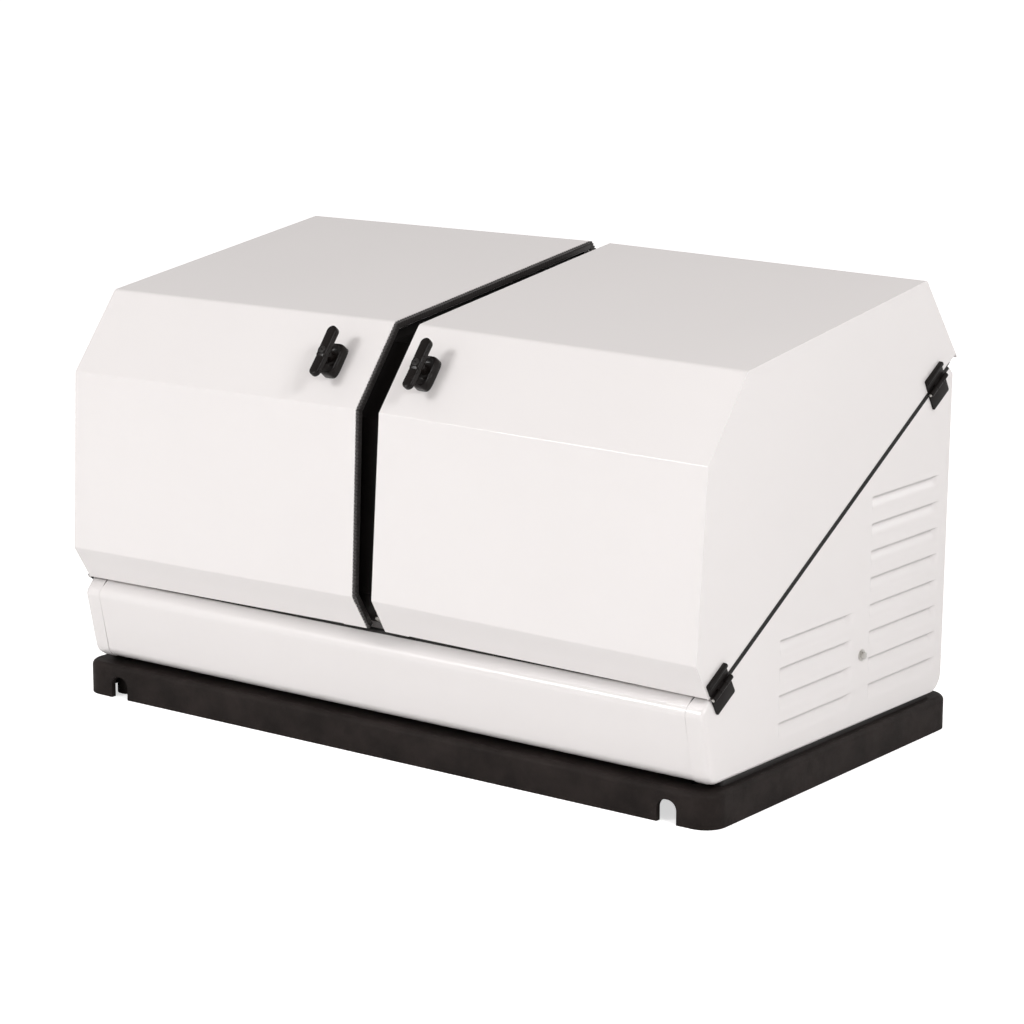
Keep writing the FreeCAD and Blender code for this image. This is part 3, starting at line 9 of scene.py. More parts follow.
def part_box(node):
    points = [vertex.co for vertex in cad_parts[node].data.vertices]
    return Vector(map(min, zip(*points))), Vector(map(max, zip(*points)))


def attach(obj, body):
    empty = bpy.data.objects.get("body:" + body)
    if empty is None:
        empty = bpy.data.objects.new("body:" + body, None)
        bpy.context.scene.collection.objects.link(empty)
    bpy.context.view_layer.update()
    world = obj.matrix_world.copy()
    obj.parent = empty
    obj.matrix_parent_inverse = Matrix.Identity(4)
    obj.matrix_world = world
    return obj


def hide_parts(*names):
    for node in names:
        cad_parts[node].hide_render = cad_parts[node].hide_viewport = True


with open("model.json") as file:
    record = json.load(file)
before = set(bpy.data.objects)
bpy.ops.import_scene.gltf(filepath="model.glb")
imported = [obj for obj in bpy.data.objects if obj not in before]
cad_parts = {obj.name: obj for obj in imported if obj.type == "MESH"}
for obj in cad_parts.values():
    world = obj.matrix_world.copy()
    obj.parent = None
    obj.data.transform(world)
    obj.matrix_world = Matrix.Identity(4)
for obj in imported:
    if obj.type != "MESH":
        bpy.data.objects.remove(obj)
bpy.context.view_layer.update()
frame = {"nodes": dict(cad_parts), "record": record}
NODES = frame["nodes"]

# Camera: direction, place and lens of the reference view
AZIMUTH = math.radians(36.77)
ELEVATION = math.radians(12.756)
ROLL = math.radians(0.125)
CAMERA_PLACE = Vector((3.1033, -4.1489, 1.4989))
LENS = 116.52
SENSOR = 36.0


def make_camera():
    data = bpy.data.cameras.new("camera")
    data.lens = LENS
    data.sensor_width = SENSOR
    data.clip_start = 0.1
    data.clip_end = 60.0
    camera = bpy.data.objects.new("camera", data)
    bpy.context.scene.collection.objects.link(camera)
    level = math.cos(ELEVATION)
    back = Vector((math.sin(AZIMUTH) * level, -math.cos(AZIMUTH) * level, math.sin(ELEVATION)))
    camera.rotation_mode = "QUATERNION"
    camera.rotation_quaternion = Quaternion(back, ROLL) @ (-back).to_track_quat("-Z", "Y")
    camera.location = CAMERA_PLACE
    bpy.context.scene.camera = camera


# ------------------------------------------------------------------ materials
class Shader:
    """A node material: Principled BSDF with helpers for procedural inputs in object space."""

    def __init__(self, name, **values):
        self.material = bpy.data.materials.new(name)
        self.material.use_nodes = True
        self.tree = self.material.node_tree
        self.surface = self.tree.nodes["Principled BSDF"]
        self.coords = self.tree.nodes.new("ShaderNodeTexCoord").outputs["Object"]
        for socket, value in values.items():
            self.surface.inputs[socket.replace("_", " ")].default_value = value

    def link(self, out, to):
        self.tree.links.new(out, to)

    def noise(self, scale, detail=3.0, roughness=0.5, stretch=None):
        coords = self.coords
        if stretch:
            mapping = self.tree.nodes.new("ShaderNodeMapping")
            mapping.inputs["Scale"].default_value = stretch
            self.link(coords, mapping.inputs["Vector"])
            coords = mapping.outputs["Vector"]
        node = self.tree.nodes.new("ShaderNodeTexNoise")
        node.inputs["Scale"].default_value = scale
        node.inputs["Detail"].default_value = detail
        node.inputs["Roughness"].default_value = roughness
        self.link(coords, node.inputs["Vector"])
        return node.outputs["Fac"]

    def grain(self, scale):
        node = self.tree.nodes.new("ShaderNodeTexVoronoi")
        node.inputs["Scale"].default_value = scale
        self.link(self.coords, node.inputs["Vector"])
        return node.outputs["Distance"]

    def ramp(self, factor, low, high, start=0.35, end=0.65):
        """Colours from low to high as the factor goes from start to end."""
        node = self.tree.nodes.new("ShaderNodeValToRGB")
        node.color_ramp.elements[0].position = start
        node.color_ramp.elements[1].position = end
        node.color_ramp.elements[0].color = (*low, 1.0)
        node.color_ramp.elements[1].color = (*high, 1.0)
        self.link(factor, node.inputs["Fac"])
        return node.outputs["Color"]

    def colour(self, factor, low, high, start=0.35, end=0.65):
        self.link(self.ramp(factor, low, high, start, end), self.surface.inputs["Base Color"])

    def gloss(self, factor, low, high):
        node = self.tree.nodes.new("ShaderNodeMapRange")
        node.inputs["From Min"].default_value = 0.1
        node.inputs["From Max"].default_value = 0.9
        node.inputs["To Min"].default_value = low
        node.inputs["To Max"].default_value = high
        self.link(factor, node.inputs["Value"])
        self.link(node.outputs["Result"], self.surface.inputs["Roughness"])

    def bump(self, *layers):
        """Layers are (height output, distance in metres)."""
        normal = None
        for height, distance in layers:
            node = self.tree.nodes.new("ShaderNodeBump")
            node.inputs["Strength"].default_value = 1.0
            node.inputs["Distance"].default_value = distance
            self.link(height, node.inputs["Height"])
            if normal is not None:
                self.link(normal, node.inputs["Normal"])
            normal = node.outputs["Normal"]
        self.link(normal, self.surface.inputs["Normal"])


def tint(colour, factor):
    return tuple(min(1.0, c * factor) for c in colour)


def paint(name, colour, roughness=0.3, variation=0.012, peel=0.000015, metallic=0.0, coat=0.25):
    """Sprayed or powder-coated sheet: faint cloudiness and orange peel."""
    shader = Shader(name, Metallic=metallic, Coat_Weight=coat, Coat_Roughness=0.12)
    shader.colour(shader.noise(3.0, 1.0), tint(colour, 1 - variation), tint(colour, 1 + variation), 0.1, 0.9)
    shader.gloss(shader.noise(5.0, 1.0), roughness * 0.92, roughness * 1.1)
    shader.bump((shader.noise(260.0, 0.0), peel))
    return shader.material


def moulded(name, colour, roughness=0.55, grain=0.00012, scale=900.0, variation=0.12, specular=0.4):
    """Moulded plastic or rubber with a spark-eroded grain."""
    shader = Shader(name, Specular_IOR_Level=specular)
    cloud = shader.noise(14.0, 4.0, 0.6)
    shader.colour(cloud, tint(colour, 1 - variation), tint(colour, 1 + variation))
    shader.gloss(shader.noise(60.0, 3.0), roughness * 0.85, roughness * 1.15)
    shader.bump((shader.grain(scale), grain), (shader.noise(scale * 0.25, 3.0), grain * 0.7))
    return shader.material


def cast(name, colour, roughness=0.5, metallic=0.85):
    """Die-cast metal: matt, slightly mottled, fine sandy surface."""
    shader = Shader(name, Metallic=metallic)
    cloud = shader.noise(22.0, 5.0, 0.65)
    shader.colour(cloud, tint(colour, 0.8), tint(colour, 1.12))
    shader.gloss(shader.noise(80.0, 4.0), roughness * 0.8, roughness * 1.2)
    shader.bump((shader.noise(1100.0, 2.0), 0.00010), (shader.noise(160.0, 3.0), 0.00012))
    return shader.material


def machined(name, colour, roughness=0.28, stretch=(1.0, 30.0, 30.0)):
    """Turned, drawn or plated steel with fine directional marks."""
    shader = Shader(name, Metallic=1.0)
    marks = shader.noise(60.0, 4.0, 0.6, stretch)
    shader.colour(marks, tint(colour, 0.85), tint(colour, 1.1))
    shader.gloss(marks, roughness * 0.75, roughness * 1.3)
    shader.bump((marks, 0.00002))
    return shader.material


def heat_tinted(name):
    """Aluminised steel that has been hot: straw and blue patches, dull."""
    shader = Shader(name, Metallic=0.9)
    shader.colour(shader.noise(6.0, 5.0, 0.6), (0.30, 0.27, 0.25), (0.50, 0.43, 0.34), 0.3, 0.7)
    shader.gloss(shader.noise(40.0, 4.0), 0.35, 0.6)
    shader.bump((shader.noise(260.0, 3.0), 0.00008))
    return shader.material


WHITE = paint("white_paint", (0.80, 0.775, 0.768), 0.30, coat=0.5)
BLACK_STEEL = paint("black_steel", (0.0075, 0.006, 0.0055), 0.45, 0.15, coat=0.0)
PAD = moulded("black_pad", (0.0180, 0.0140, 0.0128), 0.55, 0.00022, 620.0, 0.3, 0.09)
HARDWARE = moulded("black_hardware", (0.014, 0.0125, 0.0115), 0.42, 0.00005, 1400.0)
RUBBER = moulded("rubber", (0.016, 0.015, 0.014), 0.7, 0.00008, 1200.0)
ZINC = machined("zinc", (0.66, 0.65, 0.62), 0.3)
ALUMINIUM = cast("cast_aluminium", (0.50, 0.50, 0.49))
ENGINE_BLACK = moulded("engine_black", (0.018, 0.018, 0.018), 0.38, 0.00007, 1000.0)
STEEL = machined("steel", (0.52, 0.50, 0.47))
HOT_STEEL = heat_tinted("hot_steel")
IRON = cast("iron", (0.10, 0.10, 0.105), 0.5, 0.6)
FAN = moulded("fan_plastic", (0.035, 0.035, 0.037), 0.45)
FILTER = paint("filter_paint", (0.62, 0.62, 0.60), 0.25)
YELLOW = moulded("dipstick_yellow", (0.70, 0.42, 0.02), 0.4, 0.00004)
BATTERY = moulded("battery_plastic", (0.028, 0.028, 0.032), 0.35, 0.00006)
GREY = moulded("control_grey", (0.10, 0.105, 0.11), 0.45, 0.00006)
TOGGLE = moulded("toggle_black", (0.02, 0.02, 0.02), 0.3, 0.00003)
GREEN = moulded("button_green", (0.03, 0.25, 0.06), 0.3, 0.00003)
RED = moulded("button_red", (0.45, 0.02, 0.015), 0.3, 0.00003)
SLOTS = {"white_paint": WHITE, "black_pad": PAD, "black_steel": BLACK_STEEL, "black_hardware": HARDWARE,
         "rubber": RUBBER, "zinc": ZINC, "cast_aluminium": ALUMINIUM, "engine_black": ENGINE_BLACK,
         "steel": STEEL, "iron": IRON, "fan_plastic": FAN, "filter_paint": FILTER,
         "dipstick_yellow": YELLOW, "battery_plastic": BATTERY, "control_grey": GREY,
         "toggle_black": TOGGLE, "button_green": GREEN, "button_red": RED}
LATCH_PLASTIC = moulded("latch_plastic", (0.0075, 0.0058, 0.0052), 0.26, 0.00002, 1500.0, 0.1, 0.17)
LOCK_METAL = cast("lock_metal", (0.030, 0.028, 0.027), 0.34, 0.6)
HINGE_BLACK = moulded("hinge_black", (0.0075, 0.0058, 0.0052), 0.40, 0.00003, 1200.0, 0.1, 0.17)
TRIM_RUBBER = moulded("trim_rubber", (0.035, 0.032, 0.031), 0.42, 0.00003, 1400.0, 0.1, 0.6)
CHROME = machined("chrome", (0.80, 0.79, 0.77), 0.14, (1.0, 6.0, 6.0))
OWN_MATERIAL = {"muffler": HOT_STEEL, "exhaust_headers": HOT_STEEL}


# ------------------------------------------------------------------ CAD nodes
EDGE_ANGLE = 30
EDGE_BEVEL = 0.0005
SHEETS = {"lid_right_skin", "lid_left_skin", "lid_right_end", "lid_left_end", "front_panel", "rear_panel",
          "end_panel_right", "end_panel_left", "centre_channel", "base_tray", "rear_vent_panel"}


def finish_cad_nodes():
    """Each CAD node takes its slot's material and smooth shading that stops at its sharp edges."""
    slot_of = {part["node"]: part["material_slot"] for part in frame["record"]["subparts"]}
    for name, node in NODES.items():
        node.data.materials.clear()
        node.data.materials.append(OWN_MATERIAL.get(name, SLOTS[slot_of[name]]))
        weld = node.modifiers.new("weld", "WELD")
        weld.merge_threshold = MERGE_DISTANCE
        if name not in SHEETS:
            bevel = node.modifiers.new("bevel", "BEVEL")
            bevel.width = EDGE_BEVEL
            bevel.segments = 2
            bevel.limit_method = "ANGLE"
            bevel.angle_limit = math.radians(EDGE_ANGLE)
        split_edges(node, EDGE_ANGLE)
        node.modifiers.new("normals", "WEIGHTED_NORMAL")
        for polygon in node.data.polygons:
            polygon.use_smooth = True


# ------------------------------------------------------------------ shared sizes, in metres
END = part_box("end_panel_right")[1].x
FRONT = -0.3452
HEIGHT = 0.7274
SHEET = 0.002
PROFILE = [(FRONT + 0.0066, 0.1951, 0.0), (FRONT - 0.0276, 0.2509, 0.007), (FRONT - 0.0106, HEIGHT - 0.1889, 0.003),
           (FRONT + 0.0866, HEIGHT - 0.0672, 0.010), (0.2479, HEIGHT, 0.006), (0.3528, HEIGHT - 0.1328, 0.0)]
BODY_OUTLINE = [(-0.3280, 0.0620, 0.022), (-0.3530, 0.1760, 0.016), (-0.3300, 0.1932, 0.0),
                (0.3290, 0.5813, 0.0), (0.3410, 0.5700, 0.004), (0.3310, 0.0620, 0.030)]
ALONG = Vector((0.0, 0.861665, 0.507478))
ACROSS = Vector((0.0, -0.507478, 0.861665))
PIN_LEVEL = 0.336943
BODY_EDGE = 0.333943
LID_EDGE = 0.339943
HINGE_STANDOFF = 0.005
HINGE_CENTRES = (-0.162751, 0.531649)
HINGE_LENGTH = 0.052
KNUCKLE_RADIUS = 0.0045
LID_REST_ANGLE = math.radians(0.85)
LATCHES = {"right": (1, 0.077), "left": (-1, -0.093)}
LATCH_UP_SLOPE = 0.073


def lid_turn(side):
    """The lids' rest position: turned about their hinge pins, side 1 on the right, -1 on the left."""
    centre = ACROSS * PIN_LEVEL + Vector((side * (END + HINGE_STANDOFF), 0, 0))
    turn = Matrix.Rotation(LID_REST_ANGLE, 4, ALONG * side)
    return Matrix.Translation(centre) @ turn @ Matrix.Translation(-centre)


def slope_place(side, x):
    """A latch's own frame, +Y up the slope and +Z out of it, as it stands at rest."""
    foot, head = (Vector((0, y, z)) for y, z, _ in PROFILE[2:4])
    up = (head - foot).normalized()
    origin = foot + up * LATCH_UP_SLOPE + Vector((x, 0, 0))
    return lid_turn(side) @ Matrix.Translation(origin) @ Matrix.Rotation(math.atan2(up.z, up.y), 4, "X")


SEAM_TURN = Matrix.Rotation(math.atan2(ALONG.z, ALONG.y), 4, "X")
MIRROR = Matrix.Scale(-1, 4, (1, 0, 0))


# ------------------------------------------------------------------ mesh building
BEVEL_ANGLE = 40
MERGE_DISTANCE = 1e-6


def rounded_path(corners, closed=False, step=math.radians(6)):
    """Points along straight runs (y, z, radius) joined by arcs."""
    points = []
    count = len(corners)
    for i, (y, z, radius) in enumerate(corners):
        here = Vector((y, z))
        if radius == 0 or (not closed and i in (0, count - 1)):
            points.append(here)
            continue
        back = (Vector(corners[i - 1][:2]) - here).normalized()
        ahead = (Vector(corners[(i + 1) % count][:2]) - here).normalized()
        half = back.angle(ahead) / 2
        centre = here + (back + ahead).normalized() * (radius / math.sin(half))
        start = here + back * (radius / math.tan(half)) - centre
        sweep = math.pi - 2 * half
        turn = math.copysign(sweep, back.x * ahead.y - back.y * ahead.x) * -1
        parts = max(2, math.ceil(sweep / step))
        for k in range(parts + 1):
            points.append(centre + Matrix.Rotation(turn * k / parts, 2) @ start)
    return points


def loft(rings, closed=True, caps=True):
    """Vertices and faces of the surface through rings of equal length, with its ends filled if caps."""
    size = len(rings[0])
    faces = []
    for i in range(len(rings) - 1):
        a, b = i * size, (i + 1) * size
        for j in range(size if closed else size - 1):
            k = (j + 1) % size
            faces.append((a + j, a + k, b + k, b + j))
    if caps:
        last = (len(rings) - 1) * size
        faces.append(tuple(range(size))[::-1])
        faces.append(tuple(last + j for j in range(size)))
    return [point for ring in rings for point in ring], faces


def oval(a, b, power, z, count=40):
    """Superellipse ring at height z: half sizes a along X and b along Y, squarer as power grows."""
    ring = []
    for k in range(count):
        angle = 2 * math.pi * k / count
        c, s = math.cos(angle), math.sin(angle)
        ring.append((a * math.copysign(abs(c) ** (2 / power), c), b * math.copysign(abs(s) ** (2 / power), s), z))
    return ring


def turned(*profile):
    """Round rings on the Z axis from (radius, height) pairs in millimetres."""
    return [oval(radius / 1000, radius / 1000, 2.0, z / 1000) for radius, z in profile]


def join(*parts):
    """One list of vertices and faces from several."""
    verts, faces = [], []
    for more_verts, more_faces in parts:
        start = len(verts)
        verts += more_verts
        faces += [tuple(start + i for i in face) for face in more_faces]
    return verts, faces


def slab(outline, low, high, axis="X"):
    """Closed prism of an outline: (y, z) points drawn out along X, or (x, z) points along Y."""
    return loft([[(w, u, v) if axis == "X" else (u, w, v) for u, v in outline] for w in (low, high)])


def split_edges(piece, degrees):
    """Modifier that stops smooth shading at edges sharper than this."""
    split = piece.modifiers.new("split", "EDGE_SPLIT")
    split.split_angle = math.radians(degrees)
    split.use_edge_sharp = False


def make_piece(name, shape, material, body, replaced=(), place=None, bevel=0.0, sharp=35):
    """Object from vertices and faces, riding a body and standing in for the CAD nodes it replaces."""
    verts, faces = shape
    mesh = bpy.data.meshes.new(name)
    mesh.from_pydata([tuple(v) for v in verts], [], faces)
    if place is not None:
        mesh.transform(place)
    work = bmesh.new()
    work.from_mesh(mesh)
    bmesh.ops.remove_doubles(work, verts=work.verts, dist=MERGE_DISTANCE)
    bmesh.ops.recalc_face_normals(work, faces=work.faces)
    work.to_mesh(mesh)
    work.free()
    mesh.materials.append(material)
    for polygon in mesh.polygons:
        polygon.use_smooth = True
    mesh.set_sharp_from_angle(angle=math.radians(sharp))
    piece = bpy.data.objects.new(name, mesh)
    bpy.context.scene.collection.objects.link(piece)
    if bevel:
        modifier = piece.modifiers.new("bevel", "BEVEL")
        modifier.width = bevel
        modifier.segments = 3
        modifier.limit_method = "ANGLE"
        modifier.angle_limit = math.radians(BEVEL_ANGLE)
        split_edges(piece, sharp)
        for edge in mesh.edges:
            edge.use_edge_sharp = False
    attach(piece, body)
    if replaced:
        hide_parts(*replaced)
    return piece


# ------------------------------------------------------------------ latches
def latch_base():
    """Rounded pedestal with a hollow running round its middle column, like a finger scoop."""
    rings = [oval(b / 1000, a / 1000, power, z / 1000, 56) for a, b, z, power in (
        (26.6, 14.2, 0.0, 4.6), (27.0, 14.5, 0.5, 4.6), (27.0, 14.5, 10.5, 4.4), (26.7, 14.3, 13.2, 4.2),
        (25.9, 13.8, 15.4, 4.0), (24.8, 13.1, 16.6, 3.8), (23.4, 12.4, 16.9, 3.6), (22.4, 11.9, 16.6, 3.4),
        (21.0, 11.4, 15.8, 3.2), (18.8, 10.9, 14.4, 3.0), (16.2, 10.3, 13.2, 2.8), (13.8, 9.8, 12.8, 2.5),
        (11.6, 9.2, 13.2, 2.2), (9.8, 8.7, 14.6, 2.0), (8.6, 8.4, 16.9, 2.0))]
    return loft(rings)


GRIP_HALF = 0.043           # from the spindle to the bar's end
GRIP_WIDTH = 0.009          # half of the bar's width
GRIP_LOW = 0.030
GRIP_TOP = 0.042
GRIP_STATIONS = 57
SCOOP_EDGE = -0.0085        # where the thumb hollow begins, below the lock
SCOOP_END = -0.041
SCOOP_LENGTH = 0.031        # over which it fades towards its end
SCOOP_DEPTH = 0.0014


def latch_grip():
    """Capsule-shaped bar with a thumb hollow below its lock, on a flared neck."""
    rings = []
    for k in range(GRIP_STATIONS):
        share = -1 + 2 * k / (GRIP_STATIONS - 1)
        y = GRIP_HALF * math.copysign(1 - (1 - abs(share)) ** 1.35, share)
        past = max(0.0, abs(y) - (GRIP_HALF - GRIP_WIDTH)) / GRIP_WIDTH
        end = math.sqrt(max(0.0, 1 - past * past))
        width = GRIP_WIDTH * max(0.05, end) * (1.0 + 0.05 * y / GRIP_HALF)
        thick = (GRIP_TOP - GRIP_LOW) * (0.62 + 0.38 * max(0.0, end))
        top = GRIP_TOP - 0.0016 * (1 - end)
        below = (SCOOP_EDGE - y) / 0.0012
        if below > 0:
            fade = max(0.0, min(1.0, (y - SCOOP_END) / SCOOP_LENGTH))
            top -= SCOOP_DEPTH * min(1.0, below) * fade
        middle, half = top - thick / 2, thick / 2
        rings.append([(x, y, middle + z) for x, z, _ in oval(width, half, 4.2, 0.0, 36)])
    bar = loft(rings)
    neck = loft(turned((7.9, 16.2), (7.9, 22.0), (8.2, 26.0), (9.0, 29.2), (9.0, 31.5)))
    collar = loft(turned((7.6, 40.0), (7.6, 42.1), (7.3, 42.5), (6.6, 42.6), (6.25, 42.4), (6.25, 41.0)))
    return join(bar, neck, collar)


def lock_plug():
    """Round plug with a rounded key slot sunk in its face."""
    face = turned((6.0, 32.0), (6.0, 42.0), (5.7, 42.45), (5.2, 42.6), (3.6, 42.6))
    slot = [oval(0.00250, 0.00100, 3.0, 0.0426), oval(0.00235, 0.00085, 3.0, 0.0423),
            oval(0.00230, 0.00080, 3.0, 0.0400)]
    return loft(face + slot)


def make_latches():
    for word, (side, x) in LATCHES.items():
        place = slope_place(side, x)
        lid, latch = "lid_" + word, "latch_" + word
        make_piece(latch + "_pedestal", latch_base(), LATCH_PLASTIC, lid,
                   (latch + "_base",), place, sharp=50)
        make_piece(latch + "_grip", latch_grip(), LATCH_PLASTIC, latch,
                   (latch + "_handle",), place, sharp=50)
        make_piece(latch + "_lock_face", lock_plug(), LOCK_METAL, "lock_" + word,
                   (latch + "_lock_plug",), place, sharp=50)


# ------------------------------------------------------------------ hinges
KNUCKLE_CHAMFER = 0.0004
KNUCKLE_GAP = 0.0003        # half of the gap between two knuckles
STRAP_INSET = 0.0002
LEAF_PLATE = 0.0030
LEAF_FOOT = 0.031           # body leaf's lower edge, below the pin
LEAF_CORNER = 0.003
LEAF_GAP = 0.001            # between the knuckles and a leaf's flat part
RIDGE_FOOT = 0.018
# raised outer edge of the lid leaf: (out of the end face, above the pin) in millimetres
LEAF_RIDGE = ((3.0, 17.6), (3.5, 18.2), (5.4, 18.9), (6.6, 19.8), (7.1, 21.2), (7.1, 23.4), (6.7, 24.9),
              (5.6, 25.8), (4.0, 26.0), (0.0, 26.0))


def hinge_barrel(low, high, towards):
    """One knuckle from y low to high, with the strap that joins it to its leaf below (-1) or above (1)."""
    circle = [(math.cos(math.radians(a)), math.sin(math.radians(a))) for a in range(-180, 180, 12)]
    rings = []
    for y, radius in ((low, KNUCKLE_RADIUS - KNUCKLE_CHAMFER), (low + KNUCKLE_CHAMFER, KNUCKLE_RADIUS),
                      (high - KNUCKLE_CHAMFER, KNUCKLE_RADIUS), (high, KNUCKLE_RADIUS - KNUCKLE_CHAMFER)):
        rings.append([(END + HINGE_STANDOFF + radius * c, y, PIN_LEVEL + radius * s) for c, s in circle])
    near, far = sorted((PIN_LEVEL, PIN_LEVEL + towards * (KNUCKLE_RADIUS + 0.0015)))
    strap = slab([(END, near), (END + HINGE_STANDOFF, near), (END + HINGE_STANDOFF - 0.0014, far), (END, far)],
                 low + STRAP_INSET, high - STRAP_INSET, "Y")
    return join(loft(rings), strap)


def hinge_parts(centre):
    """Body leaf and lid leaf of one hinge on the right end: x out of the end face, z across the seam."""
    half, third = HINGE_LENGTH / 2, HINGE_LENGTH / 6
    head = PIN_LEVEL - KNUCKLE_RADIUS - LEAF_GAP
    foot = PIN_LEVEL - LEAF_FOOT
    outline = [tuple(p) for p in rounded_path([
        (centre - half, head, 0.0), (centre - half, foot, LEAF_CORNER), (centre + half, foot, LEAF_CORNER),
        (centre + half, head, 0.0)])]
    body = [slab(outline, END, END + LEAF_PLATE),
            hinge_barrel(centre - half, centre - third - KNUCKLE_GAP, -1),
            hinge_barrel(centre + third + KNUCKLE_GAP, centre + half, -1)]
    foot_height = KNUCKLE_RADIUS + LEAF_GAP
    points = [(0.0, foot_height), (LEAF_PLATE, foot_height)] + [(x / 1000, z / 1000) for x, z in LEAF_RIDGE]
    rings = []
    for y, share in ((-half, 0.86), (-half + 0.0005, 0.95), (-half + 0.0014, 1.0), (half - 0.0014, 1.0),
                     (half - 0.0005, 0.95), (half, 0.86)):
        rings.append([(END + x * share, centre + y,
                       PIN_LEVEL + (z if z < RIDGE_FOOT else RIDGE_FOOT + (z - RIDGE_FOOT) * share))
                      for x, z in points])
    lid = [loft(rings), hinge_barrel(centre - third + KNUCKLE_GAP, centre + third - KNUCKLE_GAP, 1)]
    return join(*body), join(*lid)


def make_hinges():
    parts = [hinge_parts(centre) for centre in HINGE_CENTRES]
    bodies = join(*(body for body, _ in parts))
    lids = join(*(lid for _, lid in parts))
    for side, word in ((1, "right"), (-1, "left")):
        flip = SEAM_TURN if side > 0 else MIRROR @ SEAM_TURN
        make_piece("hinge_" + word + "_body_leaves", bodies, HINGE_BLACK, "enclosure",
                   ("hinge_body_leaves",), flip, bevel=0.0006)
        make_piece("hinge_" + word + "_lid_leaves", lids, HINGE_BLACK, "lid_" + word,
                   ("lid_" + word + "_hinge_leaves",), lid_turn(side) @ flip, bevel=0.0006)


# ------------------------------------------------------------------ ribbed edge trim of the left lid
RIB_PITCH = 0.0056
RIB_SHARES = (0.0, 0.55, 1.0, 0.55)     # depth of the valley over one pitch
RIB_INSET = 1.7             # how far a valley cuts in across the edge, in millimetres
RIB_SINK = 2.0              # and down into it


def make_trim():
    points = rounded_path(PROFILE)
    lengths = [0.0]
    for a, b in zip(points, points[1:]):
        lengths.append(lengths[-1] + (b - a).length)
    step = RIB_PITCH / len(RIB_SHARES)
    count = int(lengths[-1] / step)
    # (x, depth below the skin's outer face, whether ribbed), in millimetres
    section = [(-18.0, 2.4, 0), (-18.0, 0.8, 1), (-17.3, 0.2, 1), (-15.4, 0.05, 1), (-13.7, 0.4, 1),
               (-12.7, 1.4, 1), (-12.4, 2.9, 1), (-12.7, 4.7, 1), (-13.8, 5.8, 0), (-14.2, 11.4, 0),
               (-14.8, 12.3, 0), (-16.0, 12.5, 0), (-18.0, 12.5, 0)]
    rings = []
    i = 0
    for k in range(count + 1):
        along = min(k * step, lengths[-1])
        while i < len(points) - 2 and lengths[i + 1] < along:
            i += 1
        ahead = (points[i + 1] - points[i]).normalized()
        here = points[i] + ahead * (along - lengths[i])
        inward = Vector((ahead.y, -ahead.x))
        valley = RIB_SHARES[k % len(RIB_SHARES)]
        ring = []
        for x, depth, ribbed in section:
            if ribbed:
                x -= RIB_INSET * valley * max(0.0, (x + 16.6) / 4.2)
                depth += RIB_SINK * valley * max(0.0, 1 - abs(depth) / 3.4)
            p = here + inward * (depth / 1000)
            ring.append((x / 1000, p.x, p.y))
        rings.append(ring)
    make_piece("lid_left_ribbed_trim", loft(rings), TRIM_RUBBER, "lid_left", ("lid_left_trim",),
               lid_turn(-1), sharp=60)


# ------------------------------------------------------------------ louvered end panels
LOUVER_BANKS = ((-0.150, 0.058, 0.243, 4), (0.105, 0.313, 0.414, 8))
LOUVER_PITCH = 0.042
SEAM_SPAN = (-0.1843, 0.5755)
EDGING = 0.0013
LOUVER_HEIGHT = 0.027
LOUVER_DENT = 0.0095
LOUVER_SLOT = 0.0030
FOLD_RADIUS = 0.007
EDGE_RADIUS = 0.0008
FRONT_FLANGE = 0.0315       # turn onto the front, almost to the skirt
TOP_FLANGE = 0.029
PLAIN_FLANGE = 0.0045
FLANGE_LAP = 0.0013         # how far the front flange's free edge stands out
LAP_WIDTH = 0.006


def smooth(t):
    t = max(0.0, min(1.0, t))
    return t * t * (3 - 2 * t)


def louver_grid(near, far, top):
    """Pressed-in louver: an open slot behind the sheet at its top, rising back to the sheet at its foot."""
    length = far - near
    ends = [0.0, 0.0006, 0.0013, 0.0021, 0.003, 0.0045, 0.0065, 0.009, 0.012, 0.0155, 0.0195, 0.024, 0.029]
    us = ends + [0.04 + (length - 0.08) * k / 6 for k in range(7)] + [length - e for e in ends[::-1]]
    rows = []
    for k in range(17):
        row = []
        for u in us:
            end = smooth(u / 0.0042) * smooth((length - u) / 0.018)
            lip = LOUVER_SLOT * end
            share = k / 16
            fall = 2 * (1 - smooth(0.5 + 0.5 * share)) * (1 - 0.25 * (1 - share) ** 4)
            row.append((END - LOUVER_DENT * fall * end, near + u, top - lip - (LOUVER_HEIGHT - lip) * share))
        rows.append(row)
    return loft(rows, closed=False, caps=False)


def outline_rings():
    """Rings of the end panel's turned edge, from the flange's free edge onto the end face."""
    edge, bend, start, *arc = rings = [[] for _ in range(7)]
    points = rounded_path(BODY_OUTLINE, closed=True)
    count = len(points)
    for i, here in enumerate(points):
        back = (here - points[i - 1]).normalized()
        ahead = (points[(i + 1) % count] - here).normalized()
        normal = Vector((ahead.y, -ahead.x)) + Vector((back.y, -back.x))
        normal.normalize()
        inward = normal / max(0.5, normal.dot(Vector((ahead.y, -ahead.x))))
        on_front = here.x < -0.31 and here.y < 0.192
        radius = FOLD_RADIUS if on_front else EDGE_RADIUS
        flange = FRONT_FLANGE if on_front else TOP_FLANGE if here.x < -0.32 else PLAIN_FLANGE
        lap = FLANGE_LAP if on_front and here.y < 0.165 else 0.0
        edge.append((END - flange, here - inward * lap))
        bend.append((END - radius - min(LAP_WIDTH, (flange - radius) / 2), here - inward * lap))
        start.append((END - radius, here))
        for k, ring in enumerate(arc, 1):
            angle = math.radians(22.5 * k)
            ring.append((END - radius + radius * math.sin(angle),
                         here + inward * radius * (1 - math.cos(angle))))
    return [[(x, p.x, p.y) for x, p in ring] for ring in rings]


